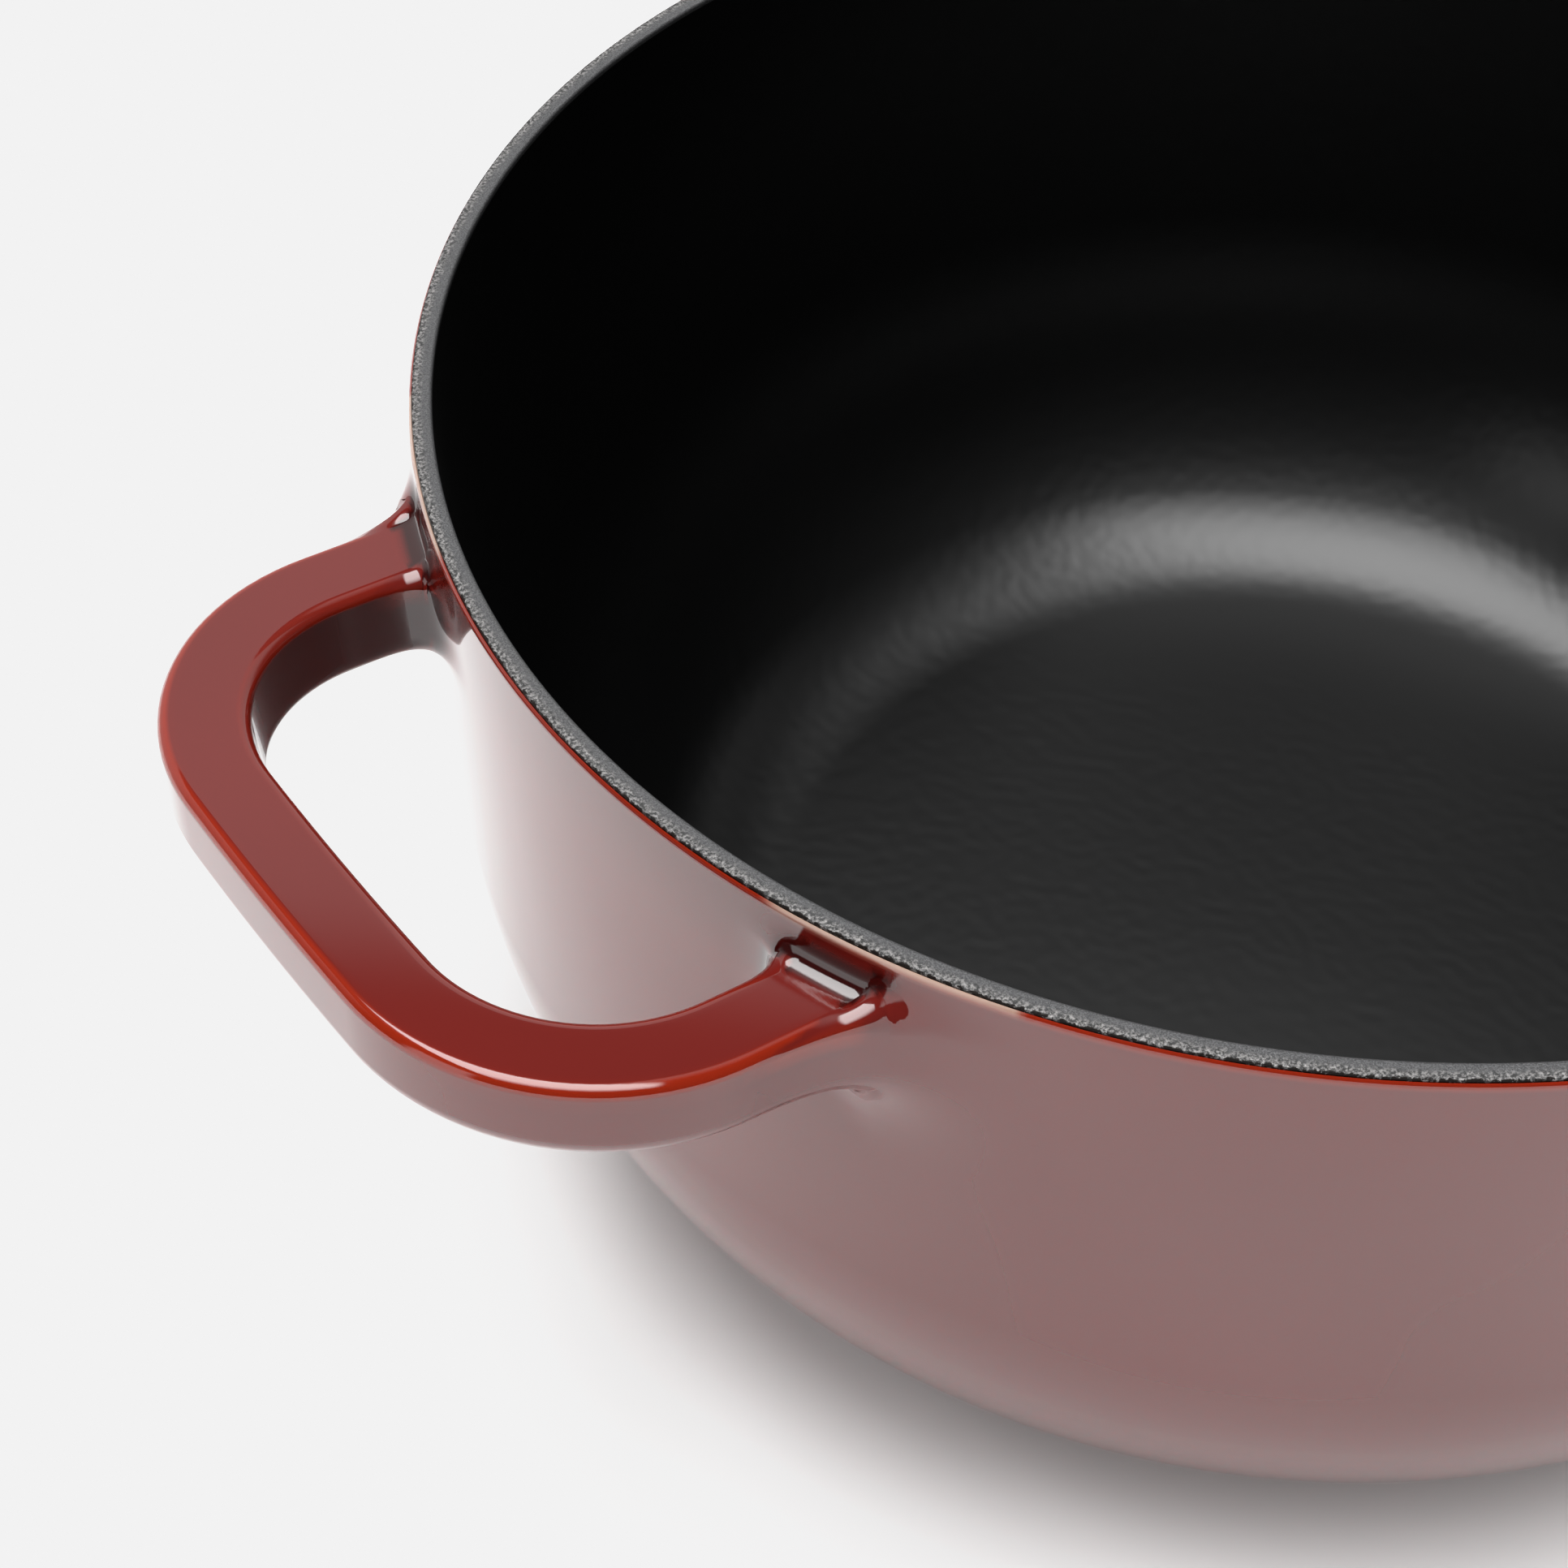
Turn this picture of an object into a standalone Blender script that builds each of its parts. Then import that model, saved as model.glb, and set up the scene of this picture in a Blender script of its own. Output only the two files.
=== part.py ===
"""Round enamelled cast iron dutch oven, open, with its lid turned over on the table beside it.

Metres, +Z up. The origin is the centre of the pot's underside, and the two loop handles point
along +X and -X. Each lid piece is drawn as it sits on the pot, with +Z out of the knob and the
origin at the centre of the lid's seat, and hangs from an empty on the hinge line that carries it
from the table to the rim.
"""

import math

import bmesh
import bpy
from mathutils import Matrix, Vector

# Pot body
RIM_HEIGHT = 0.1250
RIM_INNER_RADIUS = 0.1260
RIM_OUTER_RADIUS = 0.12905
BASE_THICKNESS = 0.0050
WALL_STRAIGHT = 0.0649
OUTER_TAPER = 0.046
INNER_TAPER = 0.060
OUTER_BEND_RADIUS = 0.0750
INNER_BEND_RADIUS = 0.0710
BEND_END = math.radians(45)
LAND_LIP = 0.0009
LIP_DROP = 0.0004
LIP_RADIUS = 0.0007

# Loop handles, cast with the body
HANDLE_REACH = 0.1652
HANDLE_HALF_SPAN = 0.0470
HANDLE_CORNER_RADIUS = 0.0290
HANDLE_START = 0.1050
HANDLE_WIDTH = 0.0115
HANDLE_HEIGHT = 0.0130
HANDLE_EDGE_RADIUS = 0.0030
HANDLE_TOP_DROP = 0.0058
HANDLE_RISE = 0.077
FLARE_LENGTH = 0.0090
FLARE_GAIN = 0.40
FLARE_STEPS = 3

# Coats and clearances
ENAMEL = 0.00035
GAP = 0.0003
UNDER_ENAMEL = ENAMEL + GAP

# Lid
LID_RADIUS = 0.1300
LID_CROWN = 0.0280
LID_THICKNESS = 0.0045
LID_EDGE_RADIUS = 0.0035
LID_EDGE_HEIGHT = 0.0055
LID_SKIRT_GAP = 0.0004
BOSS_RADIUS = 0.0165
BOSS_HEIGHT = 0.0008
BOSS_SLOPE = 0.0015
SCREW_HOLE_RADIUS = 0.0040
SPOT_FACE_RADIUS = 0.0090
RING_INNER_RADIUS = 0.1190
RING_FOOT_RADIUS = 0.1223
RING_TOP_RADIUS = 0.1252
RING_DEPTH = 0.0030

# Knob and its fixing
COLLAR_RADIUS = 0.0140
COLLAR_BORE = 0.0035
COLLAR_HEIGHT = 0.0025
COLLAR_CHAMFER = 0.0006
KNOB_HEIGHT = 0.0260
KNOB_RADIUS = 0.0225
KNOB_TOP_RADIUS = 0.0150
KNOB_FOOT_RADIUS = 0.0105
KNOB_FOOT_HEIGHT = 0.0016
KNOB_NECK_RADIUS = 0.0080
KNOB_NECK_HEIGHT = 0.0078
KNOB_FLARE_RADIUS = 0.0110
KNOB_FLARE_HEIGHT = 0.0123
KNOB_UNDER_RADIUS = 0.0205
KNOB_UNDER_HEIGHT = 0.0161
KNOB_SIDE_HEIGHT = 0.0198
KNOB_BORE_RADIUS = 0.0033
KNOB_BORE_DEPTH = 0.0140
SCREW_RADIUS = 0.0030
SCREW_HEAD_RADIUS = 0.0065
SCREW_HEAD_HEIGHT = 0.0036
SCREW_IN_KNOB = 0.0120
SCREW_CHAMFER = 0.0006
HEX_RADIUS = 0.0029
HEX_DEPTH = 0.0020
WASHER_INNER_RADIUS = 0.0034
WASHER_OUTER_RADIUS = 0.0062
WASHER_HEIGHT = 0.0016
WASHER_SPLIT = 0.0012
WASHER_SPLIT_SKEW = math.radians(25)

# Where the lid lies when it is off the pot
HINGE_X = 0.1620

# Mesh fineness
SEGMENTS = 48
SMALL_SEGMENTS = 24
HEX_SEGMENTS = 6
BEND_STEPS = 4
CORNER_STEPS = 3
LOOP_STEPS = 7
EDGE_STEPS = 2
SMOOTH_ANGLE = math.radians(35)
MERGE = 1e-6
CUTTER_EXTRA = 0.0060

# Heights that follow from the sizes above, the lid's in its own frame
BOSS_TOP = LID_CROWN + BOSS_HEIGHT
COLLAR_BOTTOM = BOSS_TOP + GAP
KNOB_BOTTOM = COLLAR_BOTTOM + COLLAR_HEIGHT + GAP
KNOB_TOP = KNOB_BOTTOM + KNOB_HEIGHT
SPOT_FACE = LID_CROWN - LID_THICKNESS
WASHER_BOTTOM = SPOT_FACE - GAP - WASHER_HEIGHT
SCREW_SHOULDER = WASHER_BOTTOM - GAP
LID_SEAT = RIM_HEIGHT + GAP
HINGE_Z = (LID_SEAT + KNOB_TOP) / 2

# Colours, as linear red, green, blue
BARE_IRON = (0.16, 0.16, 0.165)
RED_ENAMEL = (0.20, 0.018, 0.012)
BLACK_ENAMEL = (0.012, 0.012, 0.013)
STEEL = (0.62, 0.61, 0.60)
DARK_POLYMER = (0.02, 0.02, 0.021)


def clear_scene():
    for old in list(bpy.data.objects):
        bpy.data.objects.remove(old)


def material(name, colour, roughness, metallic=0.0):
    made = bpy.data.materials.new(name)
    made.use_nodes = True
    shader = made.node_tree.nodes["Principled BSDF"]
    shader.inputs["Base Color"].default_value = (*colour, 1.0)
    shader.inputs["Roughness"].default_value = roughness
    shader.inputs["Metallic"].default_value = metallic
    made.diffuse_color = (*colour, 1.0)
    return made


def add_object(name, shape, parent, finish=None, location=(0, 0, 0)):
    mesh = bpy.data.meshes.new(name)
    shape.to_mesh(mesh)
    shape.free()
    mesh.shade_smooth()
    mesh.set_sharp_from_angle(angle=SMOOTH_ANGLE)
    if finish:
        mesh.materials.append(finish)
    made = bpy.data.objects.new(name, mesh)
    made.parent = parent
    made.location = location
    bpy.context.collection.objects.link(made)
    return made


def add_empty(name, location):
    made = bpy.data.objects.new(name, None)
    made.location = location
    bpy.context.collection.objects.link(made)
    return made


def boolean(target, operation, other):
    """Joins or cuts the target with a helper, which stays out of the render."""
    modifier = target.modifiers.new(operation.title(), "BOOLEAN")
    modifier.operation = operation
    modifier.solver = "EXACT"
    modifier.object = other
    other.hide_render = True
    other.display_type = "WIRE"


def arc(centre, radius, start, end, steps):
    """Points (r, z) round a centre, both ends included."""
    angles = [start + (end - start) * step / steps for step in range(steps + 1)]
    return [(centre[0] + radius * math.cos(a), centre[1] + radius * math.sin(a)) for a in angles]


def lathe(profile, closed=False, segments=SEGMENTS):
    """Body turned from (r, z) points. An open profile starts and ends on the axis."""
    shape = bmesh.new()
    verts = [shape.verts.new((r, 0, z)) for r, z in profile]
    ends = verts[1:] + verts[:1] if closed else verts[1:]
    edges = [shape.edges.new(pair) for pair in zip(verts, ends)]
    bmesh.ops.spin(
        shape, geom=verts + edges, axis=(0, 0, 1), cent=(0, 0, 0), steps=segments, angle=math.tau
    )
    bmesh.ops.remove_doubles(shape, verts=shape.verts, dist=MERGE)
    bmesh.ops.recalc_face_normals(shape, faces=shape.faces)
    return shape


def wall_profile(rim_radius, taper, bend_radius, bottom):
    """One side of the pot wall, rim to floor: straight, a wide bend to 45 degrees, a tight bend."""
    start_radius = rim_radius - taper * WALL_STRAIGHT
    start_height = RIM_HEIGHT - WALL_STRAIGHT
    lean = math.atan(taper)
    centre = (
        start_radius - bend_radius * math.cos(lean),
        start_height + bend_radius * math.sin(lean),
    )
    bend = arc(centre, bend_radius, -lean, -BEND_END, BEND_STEPS)
    mid_radius, mid_height = bend[-1]
    corner_radius = (mid_height - bottom) / (1 - math.sin(BEND_END))
    corner_centre = (mid_radius - corner_radius * math.cos(BEND_END), bottom + corner_radius)
    corner = arc(corner_centre, corner_radius, -BEND_END, -math.pi / 2, CORNER_STEPS)
    return bend + corner[1:]


def outer_profile(inset):
    """Outside of the pot, this far inside the enamel's surface, from below the rim to the base."""
    return wall_profile(RIM_OUTER_RADIUS - inset, OUTER_TAPER, OUTER_BEND_RADIUS - inset, inset)


def inner_profile(outset):
    """Inside of the pot, this far behind the enamel's surface, from below the rim to the floor."""
    floor = BASE_THICKNESS - outset
    return wall_profile(RIM_INNER_RADIUS + outset, INNER_TAPER, INNER_BEND_RADIUS + outset, floor)


def handle_path():
    """Centre line of the +X handle in plan: leg, corner, bar, corner, leg."""
    corner_x = HANDLE_REACH - HANDLE_CORNER_RADIUS
    corner_y = HANDLE_HALF_SPAN - HANDLE_CORNER_RADIUS
    wall_x = math.sqrt(RIM_OUTER_RADIUS**2 - HANDLE_HALF_SPAN**2)
    leg = [HANDLE_START, wall_x]
    leg += [wall_x + FLARE_LENGTH * step / FLARE_STEPS for step in range(1, FLARE_STEPS + 1)]
    first = [(x, -HANDLE_HALF_SPAN) for x in leg]
    first += arc((corner_x, -corner_y), HANDLE_CORNER_RADIUS, -math.pi / 2, 0, LOOP_STEPS)
    return first + [(x, -y) for x, y in reversed(first)]


def flare(x):
    """How much the section swells where a leg runs into the wall."""
    wall_x = math.sqrt(RIM_OUTER_RADIUS**2 - HANDLE_HALF_SPAN**2)
    near = 1 - min(max((x - wall_x) / FLARE_LENGTH, 0), 1)
    return 1 + FLARE_GAIN * near**2


def handle_section(inset):
    """Rounded rectangle (across, up) of the handle bar."""
    radius = HANDLE_EDGE_RADIUS - inset
    across = HANDLE_WIDTH / 2 - HANDLE_EDGE_RADIUS
    up = HANDLE_HEIGHT / 2 - HANDLE_EDGE_RADIUS
    points = []
    for quarter, (side, level) in enumerate(((1, 1), (-1, 1), (-1, -1), (1, -1))):
        start = quarter * math.pi / 2
        end = start + math.pi / 2
        points += arc((side * across, level * up), radius, start, end, EDGE_STEPS)
    return points


def add_handle(shape, inset, turn):
    """Sweeps one handle round its path and caps its ends, turned about +Z."""
    path = [Vector((x, y, 0)) for x, y in handle_path()]
    section = handle_section(inset)
    rings = []
    for index, point in enumerate(path):
        along = path[min(index + 1, len(path) - 1)] - path[max(index - 1, 0)]
        outwards = Vector((along.y, -along.x, 0)).normalized()
        level = RIM_HEIGHT - HANDLE_TOP_DROP - HANDLE_HEIGHT / 2
        level += HANDLE_RISE * (point.x - RIM_OUTER_RADIUS)
        swell = flare(point.x)
        ring = []
        for across, up in section:
            place = point + outwards * across * swell + Vector((0, 0, level + up * swell))
            ring.append(shape.verts.new(Matrix.Rotation(turn, 4, "Z") @ place))
        rings.append(ring)
    for ring, following in zip(rings, rings[1:]):
        for i in range(len(ring)):
            j = (i + 1) % len(ring)
            shape.faces.new((ring[i], ring[j], following[j], following[i]))
    shape.faces.new(rings[0])
    shape.faces.new(reversed(rings[-1]))


def handles(inset):
    """Both handles, this far inside the enamel's surface."""
    shape = bmesh.new()
    add_handle(shape, inset, 0)
    add_handle(shape, inset, math.pi)
    bmesh.ops.recalc_face_normals(shape, faces=shape.faces)
    return shape


def make_pot_casting(pot):
    outside = outer_profile(UNDER_ENAMEL)
    top_radius = RIM_OUTER_RADIUS - UNDER_ENAMEL
    profile = [(0, RIM_HEIGHT), (top_radius, RIM_HEIGHT), *outside, (0, UNDER_ENAMEL)]
    finish = material("bare_iron", BARE_IRON, 0.55, 0.7)
    casting = add_object("pot_casting", lathe(profile), pot, finish)
    boolean(casting, "UNION", add_object("casting_handles", handles(UNDER_ENAMEL), pot))
    recess = RIM_HEIGHT - LAND_LIP
    above = RIM_HEIGHT + CUTTER_EXTRA
    cavity = [(0, above), (RIM_INNER_RADIUS, above), (RIM_INNER_RADIUS, recess)]
    cavity += [(RIM_INNER_RADIUS + UNDER_ENAMEL, recess), *inner_profile(UNDER_ENAMEL)]
    cavity += [(0, BASE_THICKNESS - UNDER_ENAMEL)]
    boolean(casting, "DIFFERENCE", add_object("casting_cavity", lathe(cavity), pot))


def make_exterior_enamel(pot):
    """Coat over the wall and both handles, open at the rim and under the flat base."""
    top = RIM_HEIGHT - LIP_DROP
    lip_centre = (RIM_OUTER_RADIUS - LIP_RADIUS, top - LIP_RADIUS)
    lip = arc(lip_centre, LIP_RADIUS, math.pi / 2, 0, EDGE_STEPS)
    outside = outer_profile(0)
    finish = material("red_enamel", RED_ENAMEL, 0.12)
    profile = [(0, top), *lip, *outside, (0, 0)]
    coat = add_object("exterior_enamel", lathe(profile), pot, finish)
    boolean(coat, "UNION", add_object("enamel_handles", handles(0), pot))
    above = RIM_HEIGHT + CUTTER_EXTRA
    iron_side = outer_profile(ENAMEL)
    base_radius = iron_side[-1][0]
    core = [(0, above), (RIM_OUTER_RADIUS - ENAMEL, above), *iron_side]
    core += [(base_radius, -CUTTER_EXTRA), (0, -CUTTER_EXTRA)]
    core_object = add_object("enamel_core", lathe(core), pot)
    boolean(core_object, "UNION", add_object("enamel_core_handles", handles(ENAMEL), pot))
    boolean(coat, "DIFFERENCE", core_object)


def make_underside_enamel(pot):
    radius = outer_profile(ENAMEL)[-1][0] - GAP
    profile = [(0, ENAMEL), (radius, ENAMEL), (radius, 0), (0, 0)]
    add_object("underside_enamel", lathe(profile), pot, material("base_enamel", RED_ENAMEL, 0.3))


def make_interior_enamel(pot):
    top = RIM_HEIGHT - LAND_LIP - GAP
    inside = [(RIM_INNER_RADIUS, top), *inner_profile(0), (0, BASE_THICKNESS)]
    behind = [(RIM_INNER_RADIUS + ENAMEL, top), *inner_profile(ENAMEL), (0, BASE_THICKNESS - ENAMEL)]
    profile = inside[::-1] + behind
    finish = material("black_enamel", BLACK_ENAMEL, 0.4)
    add_object("interior_enamel", lathe(profile), pot, finish)


def lid_dome_centre():
    """Height of the centre of the dome's circle, which meets the rounded edge and the crown."""
    edge_r = LID_RADIUS - LID_EDGE_RADIUS
    reach = LID_CROWN - LID_EDGE_RADIUS
    return (reach**2 - edge_r**2 - LID_EDGE_HEIGHT**2) / (2 * (reach - LID_EDGE_HEIGHT))


def dome_arc(offset, outer_angle, inner_r):
    """Dome this far below the enamel's top, from an angle above the horizon in to a radius."""
    centre = lid_dome_centre()
    radius = LID_CROWN - centre - offset
    return arc((0, centre), radius, outer_angle, math.acos(inner_r / radius), BEND_STEPS)


def lid_outline(offset):
    """Top of the lid, this far below the enamel's surface, from the skirt in to the screw hole."""
    edge_r = LID_RADIUS - LID_EDGE_RADIUS
    lean = math.atan2(LID_EDGE_HEIGHT - lid_dome_centre(), edge_r)
    edge = arc((edge_r, LID_EDGE_HEIGHT), LID_EDGE_RADIUS - offset, 0, lean, EDGE_STEPS)
    dome = dome_arc(offset, lean, BOSS_RADIUS + BOSS_SLOPE)
    boss = [(BOSS_RADIUS, BOSS_TOP - offset), (SCREW_HOLE_RADIUS, BOSS_TOP - offset)]
    return edge + dome[1:] + boss


def lid_underside(cover):
    """Under the lid, this deep behind the enamel's surface, from the screw hole to the seat."""
    offset = LID_THICKNESS - cover
    ring_r = RING_INNER_RADIUS + cover
    radius = LID_CROWN - lid_dome_centre() - offset
    dome = dome_arc(offset, math.acos(ring_r / radius), SPOT_FACE_RADIUS)
    foot = -RING_DEPTH + cover
    return [
        (SCREW_HOLE_RADIUS, SPOT_FACE + cover),
        *dome[::-1],
        (ring_r, foot),
        (RING_FOOT_RADIUS - cover, foot),
    ]


def make_lid_casting(add_lid_piece):
    top = lid_outline(UNDER_ENAMEL)
    seat = [(RING_TOP_RADIUS - UNDER_ENAMEL, 0), (LID_RADIUS - UNDER_ENAMEL, 0)]
    profile = lid_underside(UNDER_ENAMEL) + seat + top
    finish = material("lid_iron", BARE_IRON, 0.55, 0.7)
    add_lid_piece("lid_casting", lathe(profile, closed=True), finish)


def make_lid_exterior_enamel(add_lid_piece):
    outside = [(LID_RADIUS, LID_SKIRT_GAP), *lid_outline(0)]
    behind = [(LID_RADIUS - ENAMEL, LID_SKIRT_GAP), *lid_outline(ENAMEL)]
    finish = material("lid_red_enamel", RED_ENAMEL, 0.12)
    add_lid_piece("lid_exterior_enamel", lathe(outside + behind[::-1], closed=True), finish)


def make_lid_interior_enamel(add_lid_piece):
    outside = [*lid_underside(0), (RING_TOP_RADIUS, -GAP)]
    behind = [*lid_underside(ENAMEL), (RING_TOP_RADIUS - ENAMEL, -GAP)]
    finish = material("lid_black_enamel", BLACK_ENAMEL, 0.4)
    add_lid_piece("lid_interior_enamel", lathe(outside + behind[::-1], closed=True), finish)


def make_knob_collar(add_lid_piece):
    top = COLLAR_BOTTOM + COLLAR_HEIGHT
    profile = [
        (COLLAR_BORE, COLLAR_BOTTOM),
        (COLLAR_RADIUS, COLLAR_BOTTOM),
        (COLLAR_RADIUS, top - COLLAR_CHAMFER),
        (COLLAR_RADIUS - COLLAR_CHAMFER, top),
        (COLLAR_BORE, top),
    ]
    shape = lathe(profile, closed=True, segments=SMALL_SEGMENTS)
    add_lid_piece("knob_collar", shape, material("collar", DARK_POLYMER, 0.5))


def make_lid_knob(add_lid_piece):
    """Mushroom knob: foot, waisted neck, flared cap with a flat top, blind bore from below."""
    bore_top = KNOB_BOTTOM + KNOB_BORE_DEPTH
    side = KNOB_BOTTOM + KNOB_SIDE_HEIGHT
    profile = [
        (0, bore_top),
        (KNOB_BORE_RADIUS, bore_top),
        (KNOB_BORE_RADIUS, KNOB_BOTTOM),
        (KNOB_FOOT_RADIUS, KNOB_BOTTOM),
        (KNOB_FOOT_RADIUS, KNOB_BOTTOM + KNOB_FOOT_HEIGHT),
        (KNOB_NECK_RADIUS, KNOB_BOTTOM + KNOB_NECK_HEIGHT),
        (KNOB_FLARE_RADIUS, KNOB_BOTTOM + KNOB_FLARE_HEIGHT),
        (KNOB_UNDER_RADIUS, KNOB_BOTTOM + KNOB_UNDER_HEIGHT),
    ]
    for turn, height in arc((0, 0), 1, 0, math.pi / 2, CORNER_STEPS):
        r = KNOB_TOP_RADIUS + (KNOB_RADIUS - KNOB_TOP_RADIUS) * turn
        profile.append((r, side + (KNOB_TOP - side) * height))
    profile.append((0, KNOB_TOP))
    shape = lathe(profile, segments=SMALL_SEGMENTS)
    add_lid_piece("lid_knob", shape, material("knob_steel", STEEL, 0.3, 1.0))


def make_knob_lock_washer(add_lid_piece):
    """Spring washer under the screw's head, with its split."""
    top = WASHER_BOTTOM + WASHER_HEIGHT
    profile = [
        (WASHER_INNER_RADIUS, WASHER_BOTTOM),
        (WASHER_OUTER_RADIUS, WASHER_BOTTOM),
        (WASHER_OUTER_RADIUS, top),
        (WASHER_INNER_RADIUS, top),
    ]
    shape = lathe(profile, closed=True, segments=SMALL_SEGMENTS)
    washer = add_lid_piece("knob_lock_washer", shape, material("washer_steel", STEEL, 0.4, 1.0))
    split = bmesh.new()
    size = Vector((2 * WASHER_OUTER_RADIUS, WASHER_SPLIT, 3 * WASHER_HEIGHT))
    middle = Vector((WASHER_OUTER_RADIUS, 0, WASHER_BOTTOM + WASHER_HEIGHT / 2))
    skew = Matrix.Rotation(WASHER_SPLIT_SKEW, 4, "X")
    stretch = Matrix.Diagonal(size).to_4x4()
    bmesh.ops.create_cube(split, size=1, matrix=Matrix.Translation(middle) @ skew @ stretch)
    boolean(washer, "DIFFERENCE", add_lid_piece("washer_split", split))


def make_knob_screw(add_lid_piece):
    """Pan head screw with a hexagon socket, pointing up into the knob."""
    head_bottom = SCREW_SHOULDER - SCREW_HEAD_HEIGHT
    tip = KNOB_BOTTOM + SCREW_IN_KNOB
    profile = [
        (0, head_bottom),
        (SCREW_HEAD_RADIUS - SCREW_CHAMFER, head_bottom),
        (SCREW_HEAD_RADIUS, head_bottom + SCREW_CHAMFER),
        (SCREW_HEAD_RADIUS, SCREW_SHOULDER),
        (SCREW_RADIUS, SCREW_SHOULDER),
        (SCREW_RADIUS, tip - SCREW_CHAMFER),
        (SCREW_RADIUS - SCREW_CHAMFER, tip),
        (0, tip),
    ]
    shape = lathe(profile, segments=SMALL_SEGMENTS)
    screw = add_lid_piece("knob_screw", shape, material("screw_steel", STEEL, 0.35, 1.0))
    socket_top = head_bottom + HEX_DEPTH
    socket = [(0, socket_top), (HEX_RADIUS, socket_top)]
    socket += [(HEX_RADIUS, head_bottom - HEX_DEPTH), (0, head_bottom - HEX_DEPTH)]
    cutter = add_lid_piece("hex_socket", lathe(socket, segments=HEX_SEGMENTS))
    boolean(screw, "DIFFERENCE", cutter)


def make_pot():
    pot = add_empty("pot", (0, 0, 0))
    make_pot_casting(pot)
    make_exterior_enamel(pot)
    make_underside_enamel(pot)
    make_interior_enamel(pot)


def make_lid():
    hinge = add_empty("lid_hinge", (HINGE_X, 0, HINGE_Z))
    hinge.rotation_euler = (0, math.pi, 0)
    seat_from_hinge = (-HINGE_X, 0, LID_SEAT - HINGE_Z)

    def add_lid_piece(name, shape, finish=None):
        return add_object(name, shape, hinge, finish, seat_from_hinge)

    make_lid_casting(add_lid_piece)
    make_lid_exterior_enamel(add_lid_piece)
    make_lid_interior_enamel(add_lid_piece)
    make_knob_collar(add_lid_piece)
    make_lid_knob(add_lid_piece)
    make_knob_lock_washer(add_lid_piece)
    make_knob_screw(add_lid_piece)


def main():
    clear_scene()
    make_pot()
    make_lid()


main()
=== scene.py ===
"""Looks for the enamelled cast iron dutch oven: fine meshes, materials, studio and camera.

Metres, +Z up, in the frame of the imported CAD. The pot stands on z = 0 with its handles along X,
and the lid lies turned over on its knob beyond the +X handle.
"""

import math

import bmesh
import bpy
import numpy as np
from mathutils import Matrix, Vector


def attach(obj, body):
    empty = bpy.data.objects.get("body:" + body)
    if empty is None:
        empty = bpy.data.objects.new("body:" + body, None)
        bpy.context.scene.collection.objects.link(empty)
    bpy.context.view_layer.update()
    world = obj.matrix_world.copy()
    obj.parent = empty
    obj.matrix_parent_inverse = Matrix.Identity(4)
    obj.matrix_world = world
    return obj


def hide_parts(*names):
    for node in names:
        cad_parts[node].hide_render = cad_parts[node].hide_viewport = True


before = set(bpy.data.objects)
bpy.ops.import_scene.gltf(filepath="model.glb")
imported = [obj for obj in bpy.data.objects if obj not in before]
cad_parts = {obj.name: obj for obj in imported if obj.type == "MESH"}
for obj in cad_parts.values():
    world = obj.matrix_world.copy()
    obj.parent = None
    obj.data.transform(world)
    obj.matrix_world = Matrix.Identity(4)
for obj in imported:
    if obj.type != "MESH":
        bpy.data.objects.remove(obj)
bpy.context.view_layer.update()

# Pot wall
RIM_HEIGHT = 0.1250
RIM_INNER_RADIUS = 0.1260
RIM_OUTER_RADIUS = 0.12930
BASE_THICKNESS = 0.0050
WALL_STRAIGHT = 0.0649
OUTER_TAPER = 0.046
INNER_TAPER = 0.060
OUTER_BEND_RADIUS = 0.0750
INNER_BEND_RADIUS = 0.0710
BEND_END = math.radians(45)
ENAMEL = 0.00035
IRON_GAP = 0.00005
UNDERSIDE_ROUND = 0.00012
UNDERSIDE_GAP = 0.0006
LAND_OUTER_RADIUS = 0.12875
LAND_EDGE = 0.00018
LAND_INNER_EDGE = 0.00050
LAND_LIP = 0.0009
LAND_SIDE_BELOW_LIP = 0.0004
LIP_DROP = 0.00018
LIP_RADIUS = 0.0011
LIP_START = math.radians(52)
LIP_TOP = RIM_HEIGHT - LIP_DROP

# Handle bar and the fillets that join it to the wall
HANDLE_REACH = 0.1652
HANDLE_WIDTH = 0.0115
HANDLE_HEIGHT = 0.0130
HANDLE_HALF_SPAN = 0.0470
HANDLE_CORNER_RADIUS = 0.0290
HANDLE_BOW_RADIUS = 0.600
HANDLE_TOP_DROP = 0.0058
HANDLE_RISE = 0.077
TOP_EDGE_RADIUS = 0.0017
BOTTOM_EDGE_RADIUS = 0.0040
HANDLE_DRAFT = 0.13
SIDE_FILLET = 0.0090
SIDE_FILLET_CHANGE = 0.0025
SIDE_CHANGE_HALF = 0.005
TOP_FILLET = 0.0034
BLEND_REACH = 1.76

# Mesh steps of the pot's outside: close rows beside the handles, wide ones below
FINE_ROWS_TOP = 0.1232
FINE_ROWS_BOTTOM = 0.0975
FINE_ROWS = 36
WIDE_ROWS = 10
LIP_STEPS = 8
OUTER_BEND_STEPS = 14
ROOT_SPREAD = math.radians(11)
ROOT_ANGLE_STEP = 0.36
PLAIN_ANGLE_STEP = 1.2
LEG_START = 0.1010
LEG_FINE_FROM = 0.1165
LEG_FINE_TO = 0.1275
LEG_STEPS = (12, 28, 8)
HANDLE_CORNER_STEPS = 24
HANDLE_BOW_STEPS = 14
EDGE_STEPS = 5
SIDE_STEPS = (8, 3, 3, 3)  # across the bar's top, down its inner side, below, up the outer side

# Telling the flat ends of the outer body from its wall, and the base from the bend above it
BASE_LEVEL = 1e-6
NEAR_BASE = 1e-5
LARGEST_WALL_RING = 8

# Heights of the rows on the straight inside wall, of the coat and of the iron behind it
INSIDE_ROWS = (0.1225, 0.121, 0.118, 0.114, 0.108, 0.10, 0.09, 0.08, 0.07)
CAVITY_ROWS = (0.12, 0.10, 0.08)

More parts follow.
